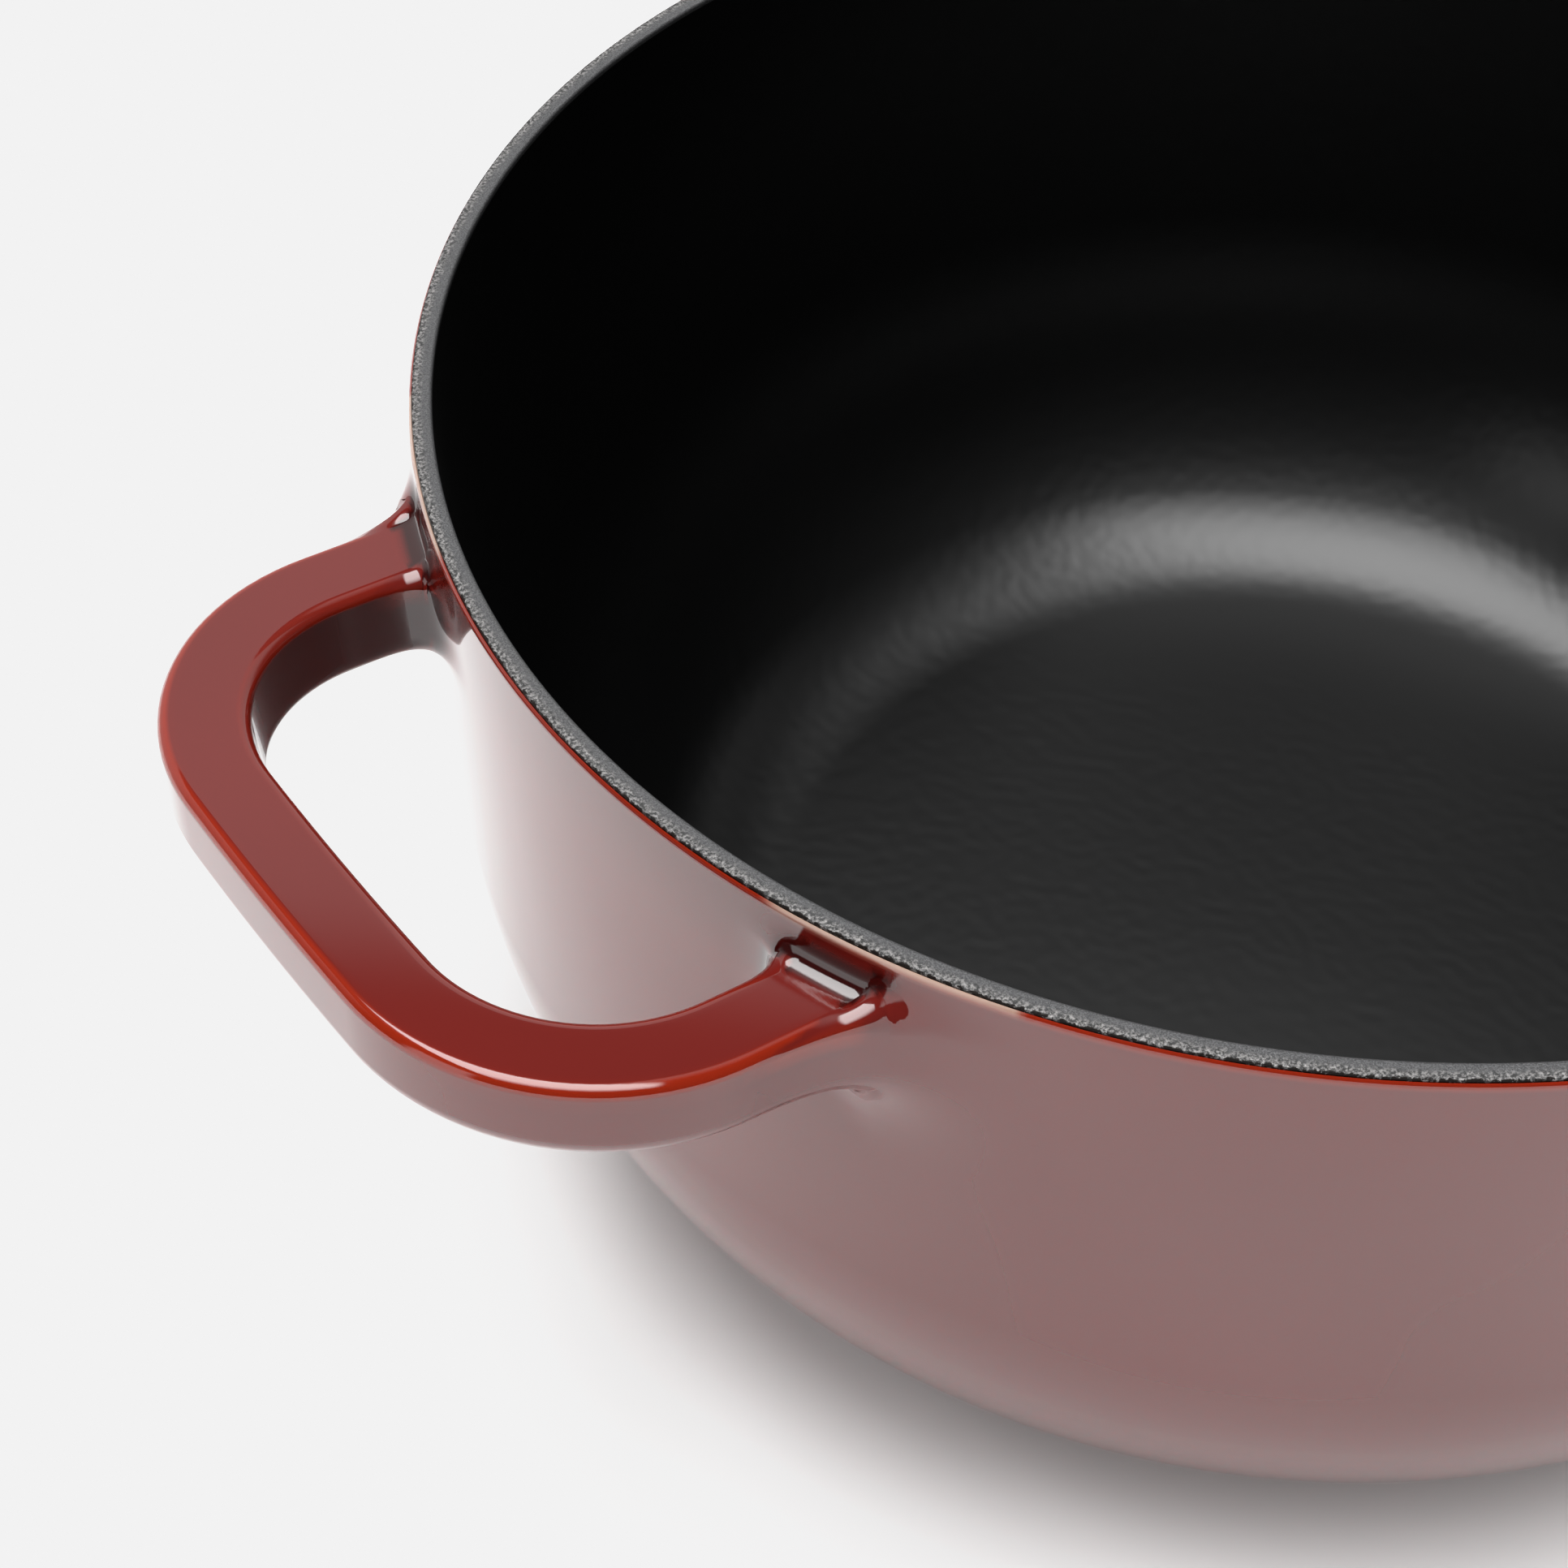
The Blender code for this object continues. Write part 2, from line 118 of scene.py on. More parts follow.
# Where the glaze runs thin or pools, with painted shade in the hollows and on the loop's inner
# side and a painted highlight on the lip over the handles: curvature in 1/m, heights in metres,
# angles in degrees
THIN_BULGE = (240, 620)
THIN_INSIDE_LOOP = 0.45
THIN_CHANGE_HALF = 0.001
# Hollows that get the dark red of pooled glaze and painted shade
POOL_AND_SHADE_HOLLOW = (50, 200)
LIP_FADE = (0.0014, 0.0002)
# Upright inner faces of the loop that get painted shade
LOOP_SHADE_UPRIGHT = (0.35, 0.75)
LOOP_SHADE_INWARD = (0.003, 0.005)
CLEAR_OF_WALL = 0.002
# Turn from the X axis, in degrees, over which the lip gets a painted highlight
LIP_HIGHLIGHT_FROM = (16, 17.6)
LIP_HIGHLIGHT_TO = (31.2, 31.8)

# Lid, in its own frame: seat at z = 0, knob up
LID_RADIUS = 0.1300
LID_CROWN = 0.0280
LID_THICKNESS = 0.0045
LID_EDGE_RADIUS = 0.0035
LID_EDGE_HEIGHT = 0.0055
LID_SKIRT_GAP = 0.0004
LID_COAT_LIP = 0.0002
LID_SEAT_ROUND = 0.0003
LINING_EDGE_DROP = 0.0003
LINING_ROUND = 0.0002
BOSS_RADIUS = 0.0165
BOSS_TOP = 0.0288
BOSS_FOOT = 0.0025
BOSS_SLOPE = 0.0004
BOSS_ROUND = 0.0016
SCREW_HOLE_RADIUS = 0.0040
SPOT_FACE_RADIUS = 0.0090
SPOT_FACE = 0.0235
RING_INNER_RADIUS = 0.1190
RING_FOOT_RADIUS = 0.1223
RING_TOP_RADIUS = 0.1252
RING_DEPTH = 0.0030
RING_ROUND = 0.0008
COLLAR_BOTTOM = 0.0291
COLLAR_HEIGHT = 0.0025
COLLAR_RADIUS = 0.0140
COLLAR_BORE = 0.0035
COLLAR_ROUND = 0.0006
COLLAR_SEAM = COLLAR_RADIUS - 0.003
KNOB_BOTTOM = 0.0319
KNOB_TOP = 0.0579
KNOB_BORE_RADIUS = 0.0033
KNOB_BORE_DEPTH = 0.0140
KNOB_BORE_MOUTH = 0.0004
KNOB_BORE_CONE = 0.0009
KNOB_FOOT_ROUND = 0.0005
KNOB_ROUND = 0.0030
KNOB_SIDE = (  # radius and height above the foot: foot, neck, underside and edge of the cap
    (0.0105, 0), (0.0105, 0.0020), (0.0079, 0.0040), (0.0077, 0.0090),
    (0.0110, 0.0133), (0.0205, 0.0152), (0.0225, 0.0178), (0.0224, 0.0222),
)
KNOB_CROWN = (0.0150, 0.0075)
WASHER_BOTTOM = 0.0216
WASHER_HEIGHT = 0.0016
WASHER_INNER_RADIUS = 0.0034
WASHER_OUTER_RADIUS = 0.0062
WASHER_ROUND = 0.0002
WASHER_STEPS = 96
WASHER_HALF_GAP = math.radians(7)
WASHER_SKEW = 0.0004
SCREW_SHOULDER = 0.0213
SCREW_HEAD_HEIGHT = 0.0036
SCREW_HEAD_RADIUS = 0.0065
SCREW_RADIUS = 0.0030
SCREW_TIP = 0.0439
THREAD_PITCH = 0.0010
THREAD_DEPTH = 0.0004
THREAD_RUNOUT = 0.0040
THREAD_START = 0.0045
SCREW_HEAD_ROUND = 0.0012
SOCKET_RADIUS = 0.0029
SOCKET_WALL = 0.0018
SOCKET_DEPTH = 0.0022
SOCKET_OVERCUT = 0.0010
THREAD_SHARP_ANGLE = math.radians(30)
LID_PLACE = Matrix.Translation((0.324, 0, 0.0579)) @ Matrix.Rotation(math.pi, 4, "Y")


# ---------------------------------------------------------------- mesh tools

ON_AXIS = 1e-7
SHARP_ANGLE = math.radians(40)


def arc(centre, radius, start, end, steps):
    """Points (r, z) round a centre, both ends included."""
    turns = [start + (end - start) * i / steps for i in range(steps + 1)]
    return [(centre[0] + radius * math.cos(t), centre[1] + radius * math.sin(t)) for t in turns]


def line(a, b, steps):
    """Points between two ends, the first left out."""
    return [(a[0] + (b[0] - a[0]) * i / steps, a[1] + (b[1] - a[1]) * i / steps)
            for i in range(1, steps + 1)]


def rounded(points, radius, steps=4):
    """Polyline whose inner corners are rounded off."""
    made = [points[0]]
    for before, corner, after in zip(points, points[1:], points[2:]):
        a, b = Vector(before) - Vector(corner), Vector(after) - Vector(corner)
        reach = min(radius, a.length * 0.45, b.length * 0.45)
        a, b = a.normalized() * reach, b.normalized() * reach
        for i in range(steps + 1):
            t = i / steps
            made.append(tuple(Vector(corner) + a * (1 - t) ** 2 + b * t**2))
    return made + [points[-1]]


def even_angles(count):
    """This many angles round the full circle."""
    return [math.tau * i / count for i in range(count)]


def new_object(name, verts, faces):
    """Mesh object in the scene from vertices and rings of vertex numbers."""
    mesh = bpy.data.meshes.new(name)
    mesh.from_pydata([tuple(v) for v in verts], [], faces)
    mesh.validate()
    made = bpy.data.objects.new(name, mesh)
    bpy.context.scene.collection.objects.link(made)
    return made


def fix_normals(obj):
    """Turns all faces outward."""
    shape = bmesh.new()
    shape.from_mesh(obj.data)
    bmesh.ops.recalc_face_normals(shape, faces=shape.faces)
    shape.to_mesh(obj.data)
    shape.free()


def shade(obj, sharp=SHARP_ANGLE):
    """Smooth shading that breaks at edges sharper than the angle."""
    fix_normals(obj)
    obj.data.shade_smooth()
    obj.data.set_sharp_from_angle(angle=sharp)
    return obj


def turned(name, profile, count=360, closed=False):
    """Body turned from (r, z) points. Points on the axis become poles."""
    angles = even_angles(count)
    verts, rows = [], []
    for r, z in profile:
        if r < ON_AXIS:
            rows.append([len(verts)] * count)
            verts.append((0, 0, z))
            continue
        rows.append(list(range(len(verts), len(verts) + count)))
        verts += [(r * math.cos(a), r * math.sin(a), z) for a in angles]
    if closed:
        rows.append(rows[0])
    faces = []
    for row, below in zip(rows, rows[1:]):
        for i in range(count):
            j = (i + 1) % count
            corners = list(dict.fromkeys((row[i], below[i], below[j], row[j])))
            if len(corners) > 2:
                faces.append(corners)
    return new_object(name, verts, faces)


def combine(target, operation, other):
    """Boolean of two closed meshes, applied. The other one is removed."""
    fix_normals(target)
    fix_normals(other)
    modifier = target.modifiers.new(operation, "BOOLEAN")
    modifier.operation = operation
    modifier.solver = "EXACT"
    modifier.object = other
    graph = bpy.context.evaluated_depsgraph_get()
    result = bpy.data.meshes.new_from_object(target.evaluated_get(graph))
    target.modifiers.clear()
    target.data = result
    bpy.data.objects.remove(other)
    return target


def coords(mesh):
    """Vertex places as rows of an array."""
    flat = np.empty(len(mesh.vertices) * 3, np.float32)
    mesh.vertices.foreach_get("co", flat)
    return flat.reshape(-1, 3).astype(float)


def store(mesh, name, values):
    """Keeps one number per vertex for a material to read."""
    layer = mesh.attributes.new(name, "FLOAT", "POINT")
    layer.data.foreach_set("value", np.asarray(values, np.float32))


def smooth_step(low, high, x):
    """0 below low, 1 above high, smooth between."""
    t = np.clip((x - low) / (high - low), 0, 1)
    return t * t * (3 - 2 * t)


# ---------------------------------------------------------------- the pot's outer surface


def bends(rim_radius, taper, bend_radius, bottom):
    """Lean of the straight wall, centre of the wide bend, centre and radius of the tight one."""
    lean = math.atan(taper)
    start = (rim_radius - taper * WALL_STRAIGHT, RIM_HEIGHT - WALL_STRAIGHT)
    wide = (start[0] - bend_radius * math.cos(lean), start[1] + bend_radius * math.sin(lean))
    mid_r = wide[0] + bend_radius * math.cos(BEND_END)
    mid_z = wide[1] - bend_radius * math.sin(BEND_END)
    tight_radius = (mid_z - bottom) / (1 - math.sin(BEND_END))
    tight = (mid_r - tight_radius * math.cos(BEND_END), bottom + tight_radius)
    return lean, start, wide, tight, tight_radius


def wall_points(rim_radius, taper, bend_radius, bottom, heights, steps):
    """Profile from the given heights on the straight wall, round both bends to the flat."""
    lean, _, wide, tight, tight_radius = bends(rim_radius, taper, bend_radius, bottom)
    straight = [(rim_radius - taper * (RIM_HEIGHT - z), z) for z in heights]
    bend = arc(wide, bend_radius, -lean, -BEND_END, steps)
    corner = arc(tight, tight_radius, -BEND_END, -math.pi / 2, steps)
    return straight + bend + corner[1:]


def wall_distance(r, z):
    """Signed distance to the outside of the body with its rounded lip, negative in the iron."""
    lean, start, wide, tight, tight_radius = bends(
        RIM_OUTER_RADIUS, OUTER_TAPER, OUTER_BEND_RADIUS, 0
    )
    straight = (r - start[0]) * math.cos(lean) - (z - start[1]) * math.sin(lean)
    bend = np.hypot(r - wide[0], z - wide[1]) - OUTER_BEND_RADIUS
    corner = np.hypot(r - tight[0], z - tight[1]) - tight_radius
    turn = np.arctan2(z - wide[1], r - wide[0])
    side = np.where(turn > -lean, straight, np.where(turn > -BEND_END, bend, corner))
    qs, qt = side + LIP_RADIUS, z - LIP_TOP + LIP_RADIUS
    outside = np.hypot(np.maximum(qs, 0), np.maximum(qt, 0))
    return outside + np.minimum(np.maximum(qs, qt), 0) - LIP_RADIUS


def handle_level(x):
    """Height of the middle of the handle's section."""
    rise = HANDLE_RISE * (np.abs(x) - RIM_OUTER_RADIUS)
    return RIM_HEIGHT - HANDLE_TOP_DROP - HANDLE_HEIGHT / 2 + rise


def loop_shape():
    """Centre of the handle's corner, the bowed bar's centre and its half angle."""
    reach = HANDLE_BOW_RADIUS - HANDLE_CORNER_RADIUS
    corner_y = HANDLE_HALF_SPAN - HANDLE_CORNER_RADIUS
    half = math.asin(corner_y / reach)
    bow_x = HANDLE_REACH - HANDLE_BOW_RADIUS
    return (bow_x + reach * math.cos(half), corner_y), bow_x, half


def handle_across(x, y):
    """How far a point lies outside the centre line of either handle, in plan."""
    corner, bow_x, half = loop_shape()
    ax, ay = np.abs(x), np.abs(y)
    dx, dy = ax - corner[0], ay - corner[1]
    leg = ay - HANDLE_HALF_SPAN
    bend = np.hypot(dx, dy) - HANDLE_CORNER_RADIUS
    bar = np.hypot(ax - bow_x, ay) - HANDLE_BOW_RADIUS
    in_bar = np.arctan2(ay, ax - bow_x) < half
    return np.where(in_bar, bar, np.where(dx < 0, leg, bend))


def inner_draft(across, up):
    """How far the loop's inner side leans out below its top edge."""
    depth = np.clip(HANDLE_HEIGHT / 2 - up, 0, HANDLE_HEIGHT)
    return np.where(across < 0, HANDLE_DRAFT * depth, 0)


def handle_distance(x, y, z):
    """Signed distance to the bars of both handles, and how far it is measured from the top."""
    across = handle_across(x, y)
    up = z - handle_level(x)
    edge = np.where(up > 0, TOP_EDGE_RADIUS, BOTTOM_EDGE_RADIUS)
    half_width = HANDLE_WIDTH / 2 + inner_draft(across, up)
    qa = np.abs(across) - half_width + edge
    qu = np.abs(up) - HANDLE_HEIGHT / 2 + edge
    outside = np.hypot(np.maximum(qa, 0), np.maximum(qu, 0))
    above = np.where(up > 0, np.maximum(qu, 0), 0)
    share = above / np.maximum(above + np.maximum(qa, 0), 1e-6)
    return outside + np.minimum(np.maximum(qa, qu), 0) - edge, share


def pot_distance(p):
    """Signed distance to the pot's outside, the handles blended in with fillets.

    The fillets are wide beside and under the legs and small above, clear of the rim. The blend
    is cubic, so its curvature starts from nothing at both ends.
    """
    x, y, z = p[:, 0], p[:, 1], p[:, 2]
    wall = wall_distance(np.hypot(x, y), z)
    bar, above = handle_distance(x, y, z)
    outward = 2 * smooth_step(-SIDE_CHANGE_HALF, SIDE_CHANGE_HALF, handle_across(x, y)) - 1
    side = SIDE_FILLET + SIDE_FILLET_CHANGE * outward
    reach = BLEND_REACH * (side + (TOP_FILLET - side) * smooth_step(0, 1, above))
    blend = np.maximum(reach - np.abs(wall - bar), 0) / reach
    return np.minimum(wall, bar) - blend**3 * reach / 6


def gradient(p, step=2e-5):
    """Slope of the signed distance along each axis."""
    made = np.empty_like(p)
    for axis in range(3):
        d = np.zeros(3)
        d[axis] = step
        made[:, axis] = (pot_distance(p + d) - pot_distance(p - d)) / (2 * step)
    return made


def surface_normals(p):
    """Unit normals of the blended surface."""
    g = gradient(p)
    return g / np.maximum(np.linalg.norm(g, axis=1), 1e-9)[:, None]


def curvature(p, step=2e-4):
    """Sum of both curvatures, positive where the surface bulges."""
    total = np.zeros(len(p))
    for axis in range(3):
        d = np.zeros(3)
        d[axis] = step
        total += (surface_normals(p + d)[:, axis] - surface_normals(p - d)[:, axis]) / (2 * step)
    return total


def settle(p, rounds=6):
    """Moves points onto the blended surface along its gradient."""
    for _ in range(rounds):
        g = gradient(p)
        p = p - g * (pot_distance(p) / np.maximum((g * g).sum(1), 1e-9))[:, None]
    return p


def dense_angles():
    """Angles round the pot, close together where the handle legs meet the wall."""
    leg = math.asin(HANDLE_HALF_SPAN / RIM_OUTER_RADIUS)
    stops = [0, leg - ROOT_SPREAD, leg + ROOT_SPREAD, math.pi / 2]
    angle_steps = (PLAIN_ANGLE_STEP, ROOT_ANGLE_STEP, PLAIN_ANGLE_STEP)
    quarter = []
    for a, b, step in zip(stops, stops[1:], angle_steps):
        count = math.ceil(math.degrees(b - a) / step)
        quarter += [a + (b - a) * i / count for i in range(count)]
    half = quarter + [math.pi / 2] + [math.pi - a for a in quarter[:0:-1]]
    return half + [a + math.pi for a in half]


def body_solid(profile, angles):
    """Closed body of revolution on uneven angles."""
    verts = [(r * math.cos(a), r * math.sin(a), z) for r, z in profile for a in angles]
    n = len(angles)
    faces = []
    for row in range(len(profile) - 1):
        for i in range(n):
            j = (i + 1) % n
            faces.append((row * n + i, (row + 1) * n + i, (row + 1) * n + j, row * n + j))
    faces.append(tuple(range(n)))
    faces.append(tuple(range((len(profile) - 1) * n, len(profile) * n))[::-1])
    return new_object("body", verts, faces)


def handle_path():
    """Centre line of one handle, with short steps where it meets the wall."""
    corner, bow_x, half = loop_shape()
    side = -HANDLE_HALF_SPAN
    stops = (LEG_START, LEG_FINE_FROM, LEG_FINE_TO, corner[0])
    first = []
    for x0, x1, steps in zip(stops, stops[1:], LEG_STEPS):
        first += line((x0, side), (x1, side), steps)
    first = first[:-1] + arc((corner[0], -corner[1]), HANDLE_CORNER_RADIUS, -math.pi / 2, -half,
                             HANDLE_CORNER_STEPS)
    first += arc((bow_x, 0), HANDLE_BOW_RADIUS, -half, 0, HANDLE_BOW_STEPS)[1:-1]
    return first + [(HANDLE_REACH, 0.0)] + [(x, -y) for x, y in reversed(first)]


def handle_outline():
    """Section of the bar as (across, up), rounder below than above."""
    corners = []
    for quarter, (side, level) in enumerate(((1, 1), (-1, 1), (-1, -1), (1, -1))):
        radius = TOP_EDGE_RADIUS if level > 0 else BOTTOM_EDGE_RADIUS
        centre = (side * (HANDLE_WIDTH / 2 - radius),
                  level * (HANDLE_HEIGHT / 2 - radius))
        start = quarter * math.pi / 2
        corners.append(arc(centre, radius, start, start + math.pi / 2, EDGE_STEPS))
    points = []
    for corner, following, steps in zip(corners, corners[1:] + corners[:1], SIDE_STEPS):
        points += corner + line(corner[-1], following[0], steps)[:-1]
    return points


def handle_solids():
    """Both handle bars as closed solids whose ends lie inside the wall."""
    outline, path = handle_outline(), handle_path()
    n = len(outline)
    verts, faces = [], []
    for sign in (1, -1):
        rings = []
        for i, (x, y) in enumerate(path):
            x0, y0 = path[max(i - 1, 0)]
            x1, y1 = path[min(i + 1, len(path) - 1)]
            length = math.hypot(x1 - x0, y1 - y0)
            nx, ny = (y1 - y0) / length, -(x1 - x0) / length
            rings.append(list(range(len(verts), len(verts) + n)))
            for across, up in outline:
                across -= float(inner_draft(across, up))
                px, py = x + nx * across, y + ny * across
                verts.append((sign * px, sign * py, handle_level(px) + up))
        for ring, following in zip(rings, rings[1:]):
            for i in range(n):
                j = (i + 1) % n
                faces.append((ring[i], ring[j], following[j], following[i]))
        faces += [tuple(rings[0]), tuple(reversed(rings[-1]))]
    return new_object("handle_bars", verts, faces)


def outer_surface():
    """Points, faces and normals of the pot's outside, open at the land and under the base."""
    lip_centre = (RIM_OUTER_RADIUS - LIP_RADIUS, LIP_TOP - LIP_RADIUS)
    lip = arc(lip_centre, LIP_RADIUS, LIP_START, 0, LIP_STEPS)
    low = RIM_HEIGHT - WALL_STRAIGHT
    heights = [FINE_ROWS_TOP - (FINE_ROWS_TOP - FINE_ROWS_BOTTOM) * i / FINE_ROWS
               for i in range(FINE_ROWS)]
    heights += [FINE_ROWS_BOTTOM - (FINE_ROWS_BOTTOM - low) * i / WIDE_ROWS
                for i in range(WIDE_ROWS)]
    outside = wall_points(RIM_OUTER_RADIUS, OUTER_TAPER, OUTER_BEND_RADIUS, 0, heights,
                          OUTER_BEND_STEPS)
    solid = body_solid(lip + outside, dense_angles())
    combine(solid, "UNION", handle_solids())
    mesh = solid.data
    p = coords(mesh)
    faces = []
    for face in mesh.polygons:
        ring = list(face.vertices)
        z = p[ring, 2]
        flat_end = z.max() < BASE_LEVEL or z.min() > LIP_TOP - LIP_RADIUS
        if not (len(ring) > LARGEST_WALL_RING and flat_end):
            faces.append(ring)
    used = sorted({v for ring in faces for v in ring})
    slot = {v: i for i, v in enumerate(used)}
    faces = [[slot[v] for v in ring] for ring in faces]
    bpy.data.objects.remove(solid)
    p = settle(p[used])
    return p, faces, surface_normals(p)


def boundary(faces):
    """Directed edges that only one face uses."""
    edges = {(a, b) for ring in faces for a, b in zip(ring, ring[1:] + ring[:1])}
    return [(a, b) for a, b in edges if (b, a) not in edges]


def in_order(p, edges, top):
    """The rim's or the base's open loop as vertex numbers in order round the axis."""
    picked = {v for edge in edges for v in edge if (p[v, 2] > RIM_HEIGHT / 2) == top}
    return sorted(picked, key=lambda v: math.atan2(p[v, 1], p[v, 0]))


def set_normals(mesh, normals, count):
    """Uses the exact normals on the first vertices, and the face's own on the rest."""
    mesh.shade_smooth()
    corner_normals = []
    for face in mesh.polygons:
        own = tuple(face.normal)
        exact = all(v < count for v in face.vertices)
        for v in face.vertices:
            corner_normals.append(tuple(normals[v]) if exact else own)
    mesh.normals_split_custom_set(corner_normals)


def make_coat(p, faces, normals):
    """Coat of even thickness over the outer surface."""
    n = len(p)
    verts = np.vstack([p, p - normals * ENAMEL])
    rings = [list(ring) for ring in faces]
    rings += [[v + n for v in reversed(ring)] for ring in faces]
    rings += [[b, a, a + n, b + n] for a, b in boundary(faces)]
    coat = new_object("exterior_glaze", verts, rings)
    set_normals(coat.data, normals, n)
    bulge = curvature(p)
    lip = smooth_step(LIP_TOP - LIP_FADE[0], LIP_TOP - LIP_FADE[1], p[:, 2])
    across = handle_across(p[:, 0], p[:, 1])
    on_bar = np.hypot(p[:, 0], p[:, 1]) > RIM_OUTER_RADIUS + CLEAR_OF_WALL
    outer_half = smooth_step(-THIN_CHANGE_HALF, THIN_CHANGE_HALF, across)
    thinness = THIN_INSIDE_LOOP + (1 - THIN_INSIDE_LOOP) * outer_half
    thin = np.maximum(smooth_step(*THIN_BULGE, bulge) * thinness, lip)
    # Deep: painted shade on the loop's upright inner faces, and pooled glaze with painted shade in
    # the hollows
    upright = smooth_step(*LOOP_SHADE_UPRIGHT, 1 - np.abs(normals[:, 2]))
    loop_shade = upright * smooth_step(*LOOP_SHADE_INWARD, -across)
    deep = np.maximum(smooth_step(*POOL_AND_SHADE_HOLLOW, -bulge), loop_shade * on_bar)
    turn = np.degrees(np.arctan2(np.abs(p[:, 1]), np.abs(p[:, 0])))
    # Pale: a painted highlight on the lip above the handles
    pale = lip * smooth_step(*LIP_HIGHLIGHT_FROM, turn) * (1 - smooth_step(*LIP_HIGHLIGHT_TO, turn))
    for name, values in (("thin", thin), ("deep", deep), ("pale", pale)):
        store(coat.data, name, np.concatenate([values, values]))
    return coat


def make_iron(p, faces, normals):
    """Casting behind the coat: body, handle cores, land and cavity in one closed solid."""
    behind = ENAMEL + IRON_GAP
    shell = p - normals * behind
    verts = [tuple(v) for v in shell]
    rings = [list(ring) for ring in faces]
    edges = boundary(faces)
    land, base = in_order(p, edges, True), in_order(p, edges, False)
    angles = [math.atan2(p[v, 1], p[v, 0]) for v in land]
    inner = RIM_INNER_RADIUS
    edge = LAND_OUTER_RADIUS - LAND_EDGE
    profile = [(LAND_OUTER_RADIUS, LIP_TOP - LAND_SIDE_BELOW_LIP)]
    profile += arc((edge, RIM_HEIGHT - LAND_EDGE), LAND_EDGE, 0, math.pi / 2, 4)
    soft = LAND_INNER_EDGE
    profile += line((edge, RIM_HEIGHT), (inner + soft, RIM_HEIGHT), 8)
    profile += arc((inner + soft, RIM_HEIGHT - soft), soft, math.pi / 2, math.pi, 6)[1:]
    recess = RIM_HEIGHT - LAND_LIP
    profile += [(inner, recess), (inner + behind, recess)]
    profile += wall_points(inner + behind, INNER_TAPER, INNER_BEND_RADIUS + behind,
                           BASE_THICKNESS - behind, CAVITY_ROWS, 8)
    rows = [land]
    for r, z in profile:
        rows.append(list(range(len(verts), len(verts) + len(land))))
        verts += [(r * math.cos(a), r * math.sin(a), z) for a in angles]
    count = len(land)
    for row, following in zip(rows, rows[1:]):
        rings += [[row[i], row[(i + 1) % count], following[(i + 1) % count], following[i]]
                  for i in range(count)]
    for ring, z in ((rows[-1], BASE_THICKNESS - behind), (base, behind)):
        verts.append((0, 0, z))
        rings += [[ring[i], ring[(i + 1) % len(ring)], len(verts) - 1] for i in range(len(ring))]
    return shade(new_object("pot_iron", verts, rings))


# ---------------------------------------------------------------- the other pieces


def make_inside():
    """Black coat inside, from the rim's land to the middle of the floor."""
    top = RIM_HEIGHT - LAND_LIP
    inside = [(RIM_INNER_RADIUS, top)]
    inside += wall_points(RIM_INNER_RADIUS, INNER_TAPER, INNER_BEND_RADIUS, BASE_THICKNESS,
                          INSIDE_ROWS, 48)
    behind = [(RIM_INNER_RADIUS + ENAMEL, top)]
    behind += wall_points(RIM_INNER_RADIUS + ENAMEL, INNER_TAPER, INNER_BEND_RADIUS + ENAMEL,
                          BASE_THICKNESS - ENAMEL, INSIDE_ROWS, 12)
    floor = line(inside[-1], (0, BASE_THICKNESS), 10)
    under = line(behind[-1], (0, BASE_THICKNESS - ENAMEL), 10)
    return shade(turned("interior_glaze", (inside + floor)[::-1] + behind + under))


def make_underside(base_radius):
    """Thin disc of glaze under the flat base, with a rounded edge."""
    half = base_radius / 2
    corners = [(half, ENAMEL), (base_radius, ENAMEL), (base_radius, 0), (half, 0)]
    profile = [(0, ENAMEL)] + rounded(corners, UNDERSIDE_ROUND) + [(0, 0)]
    return shade(turned("underside_glaze", profile, 256))


def dome_centre():
    """Height of the centre of the lid's dome, which meets the rounded edge and the crown."""
    edge_r = LID_RADIUS - LID_EDGE_RADIUS
    reach = LID_CROWN - LID_EDGE_RADIUS
    return (reach**2 - edge_r**2 - LID_EDGE_HEIGHT**2) / (2 * (reach - LID_EDGE_HEIGHT))


def lid_top(offset, inner):
    """Top of the lid this far below the glaze, from the skirt to a radius on the boss."""
    edge_r = LID_RADIUS - LID_EDGE_RADIUS
    centre = dome_centre()
    lean = math.atan2(LID_EDGE_HEIGHT - centre, edge_r)
    edge = arc((edge_r, LID_EDGE_HEIGHT), LID_EDGE_RADIUS - offset, 0, lean, 12)
    radius = LID_CROWN - centre - offset
    dome = arc((0, centre), radius, lean, math.acos((BOSS_RADIUS + BOSS_FOOT) / radius), 60)
    level = BOSS_TOP - offset
    step = [dome[-1], (BOSS_RADIUS + BOSS_SLOPE, level), (inner, level)]
    return edge + dome[1:-1] + rounded(step, BOSS_ROUND, 8)


def lid_under(cover):
    """Under the lid this deep behind the glaze, from the screw hole to the ring's foot."""
    centre = dome_centre()
    radius = LID_CROWN - centre - (LID_THICKNESS - cover)
    ring_r = RING_INNER_RADIUS + cover
    start, end = math.acos(SPOT_FACE_RADIUS / radius), math.acos(ring_r / radius)
    dome = arc((0, centre), radius, start, end, 50)
    foot = -RING_DEPTH + cover
    level = SPOT_FACE + cover
    step = [(SCREW_HOLE_RADIUS, level), (SPOT_FACE_RADIUS, level), dome[1]]
    down = [dome[-2], dome[-1], (ring_r, foot), (RING_FOOT_RADIUS - cover, foot)]
    return step + dome[2:-2] + rounded(down, RING_ROUND)


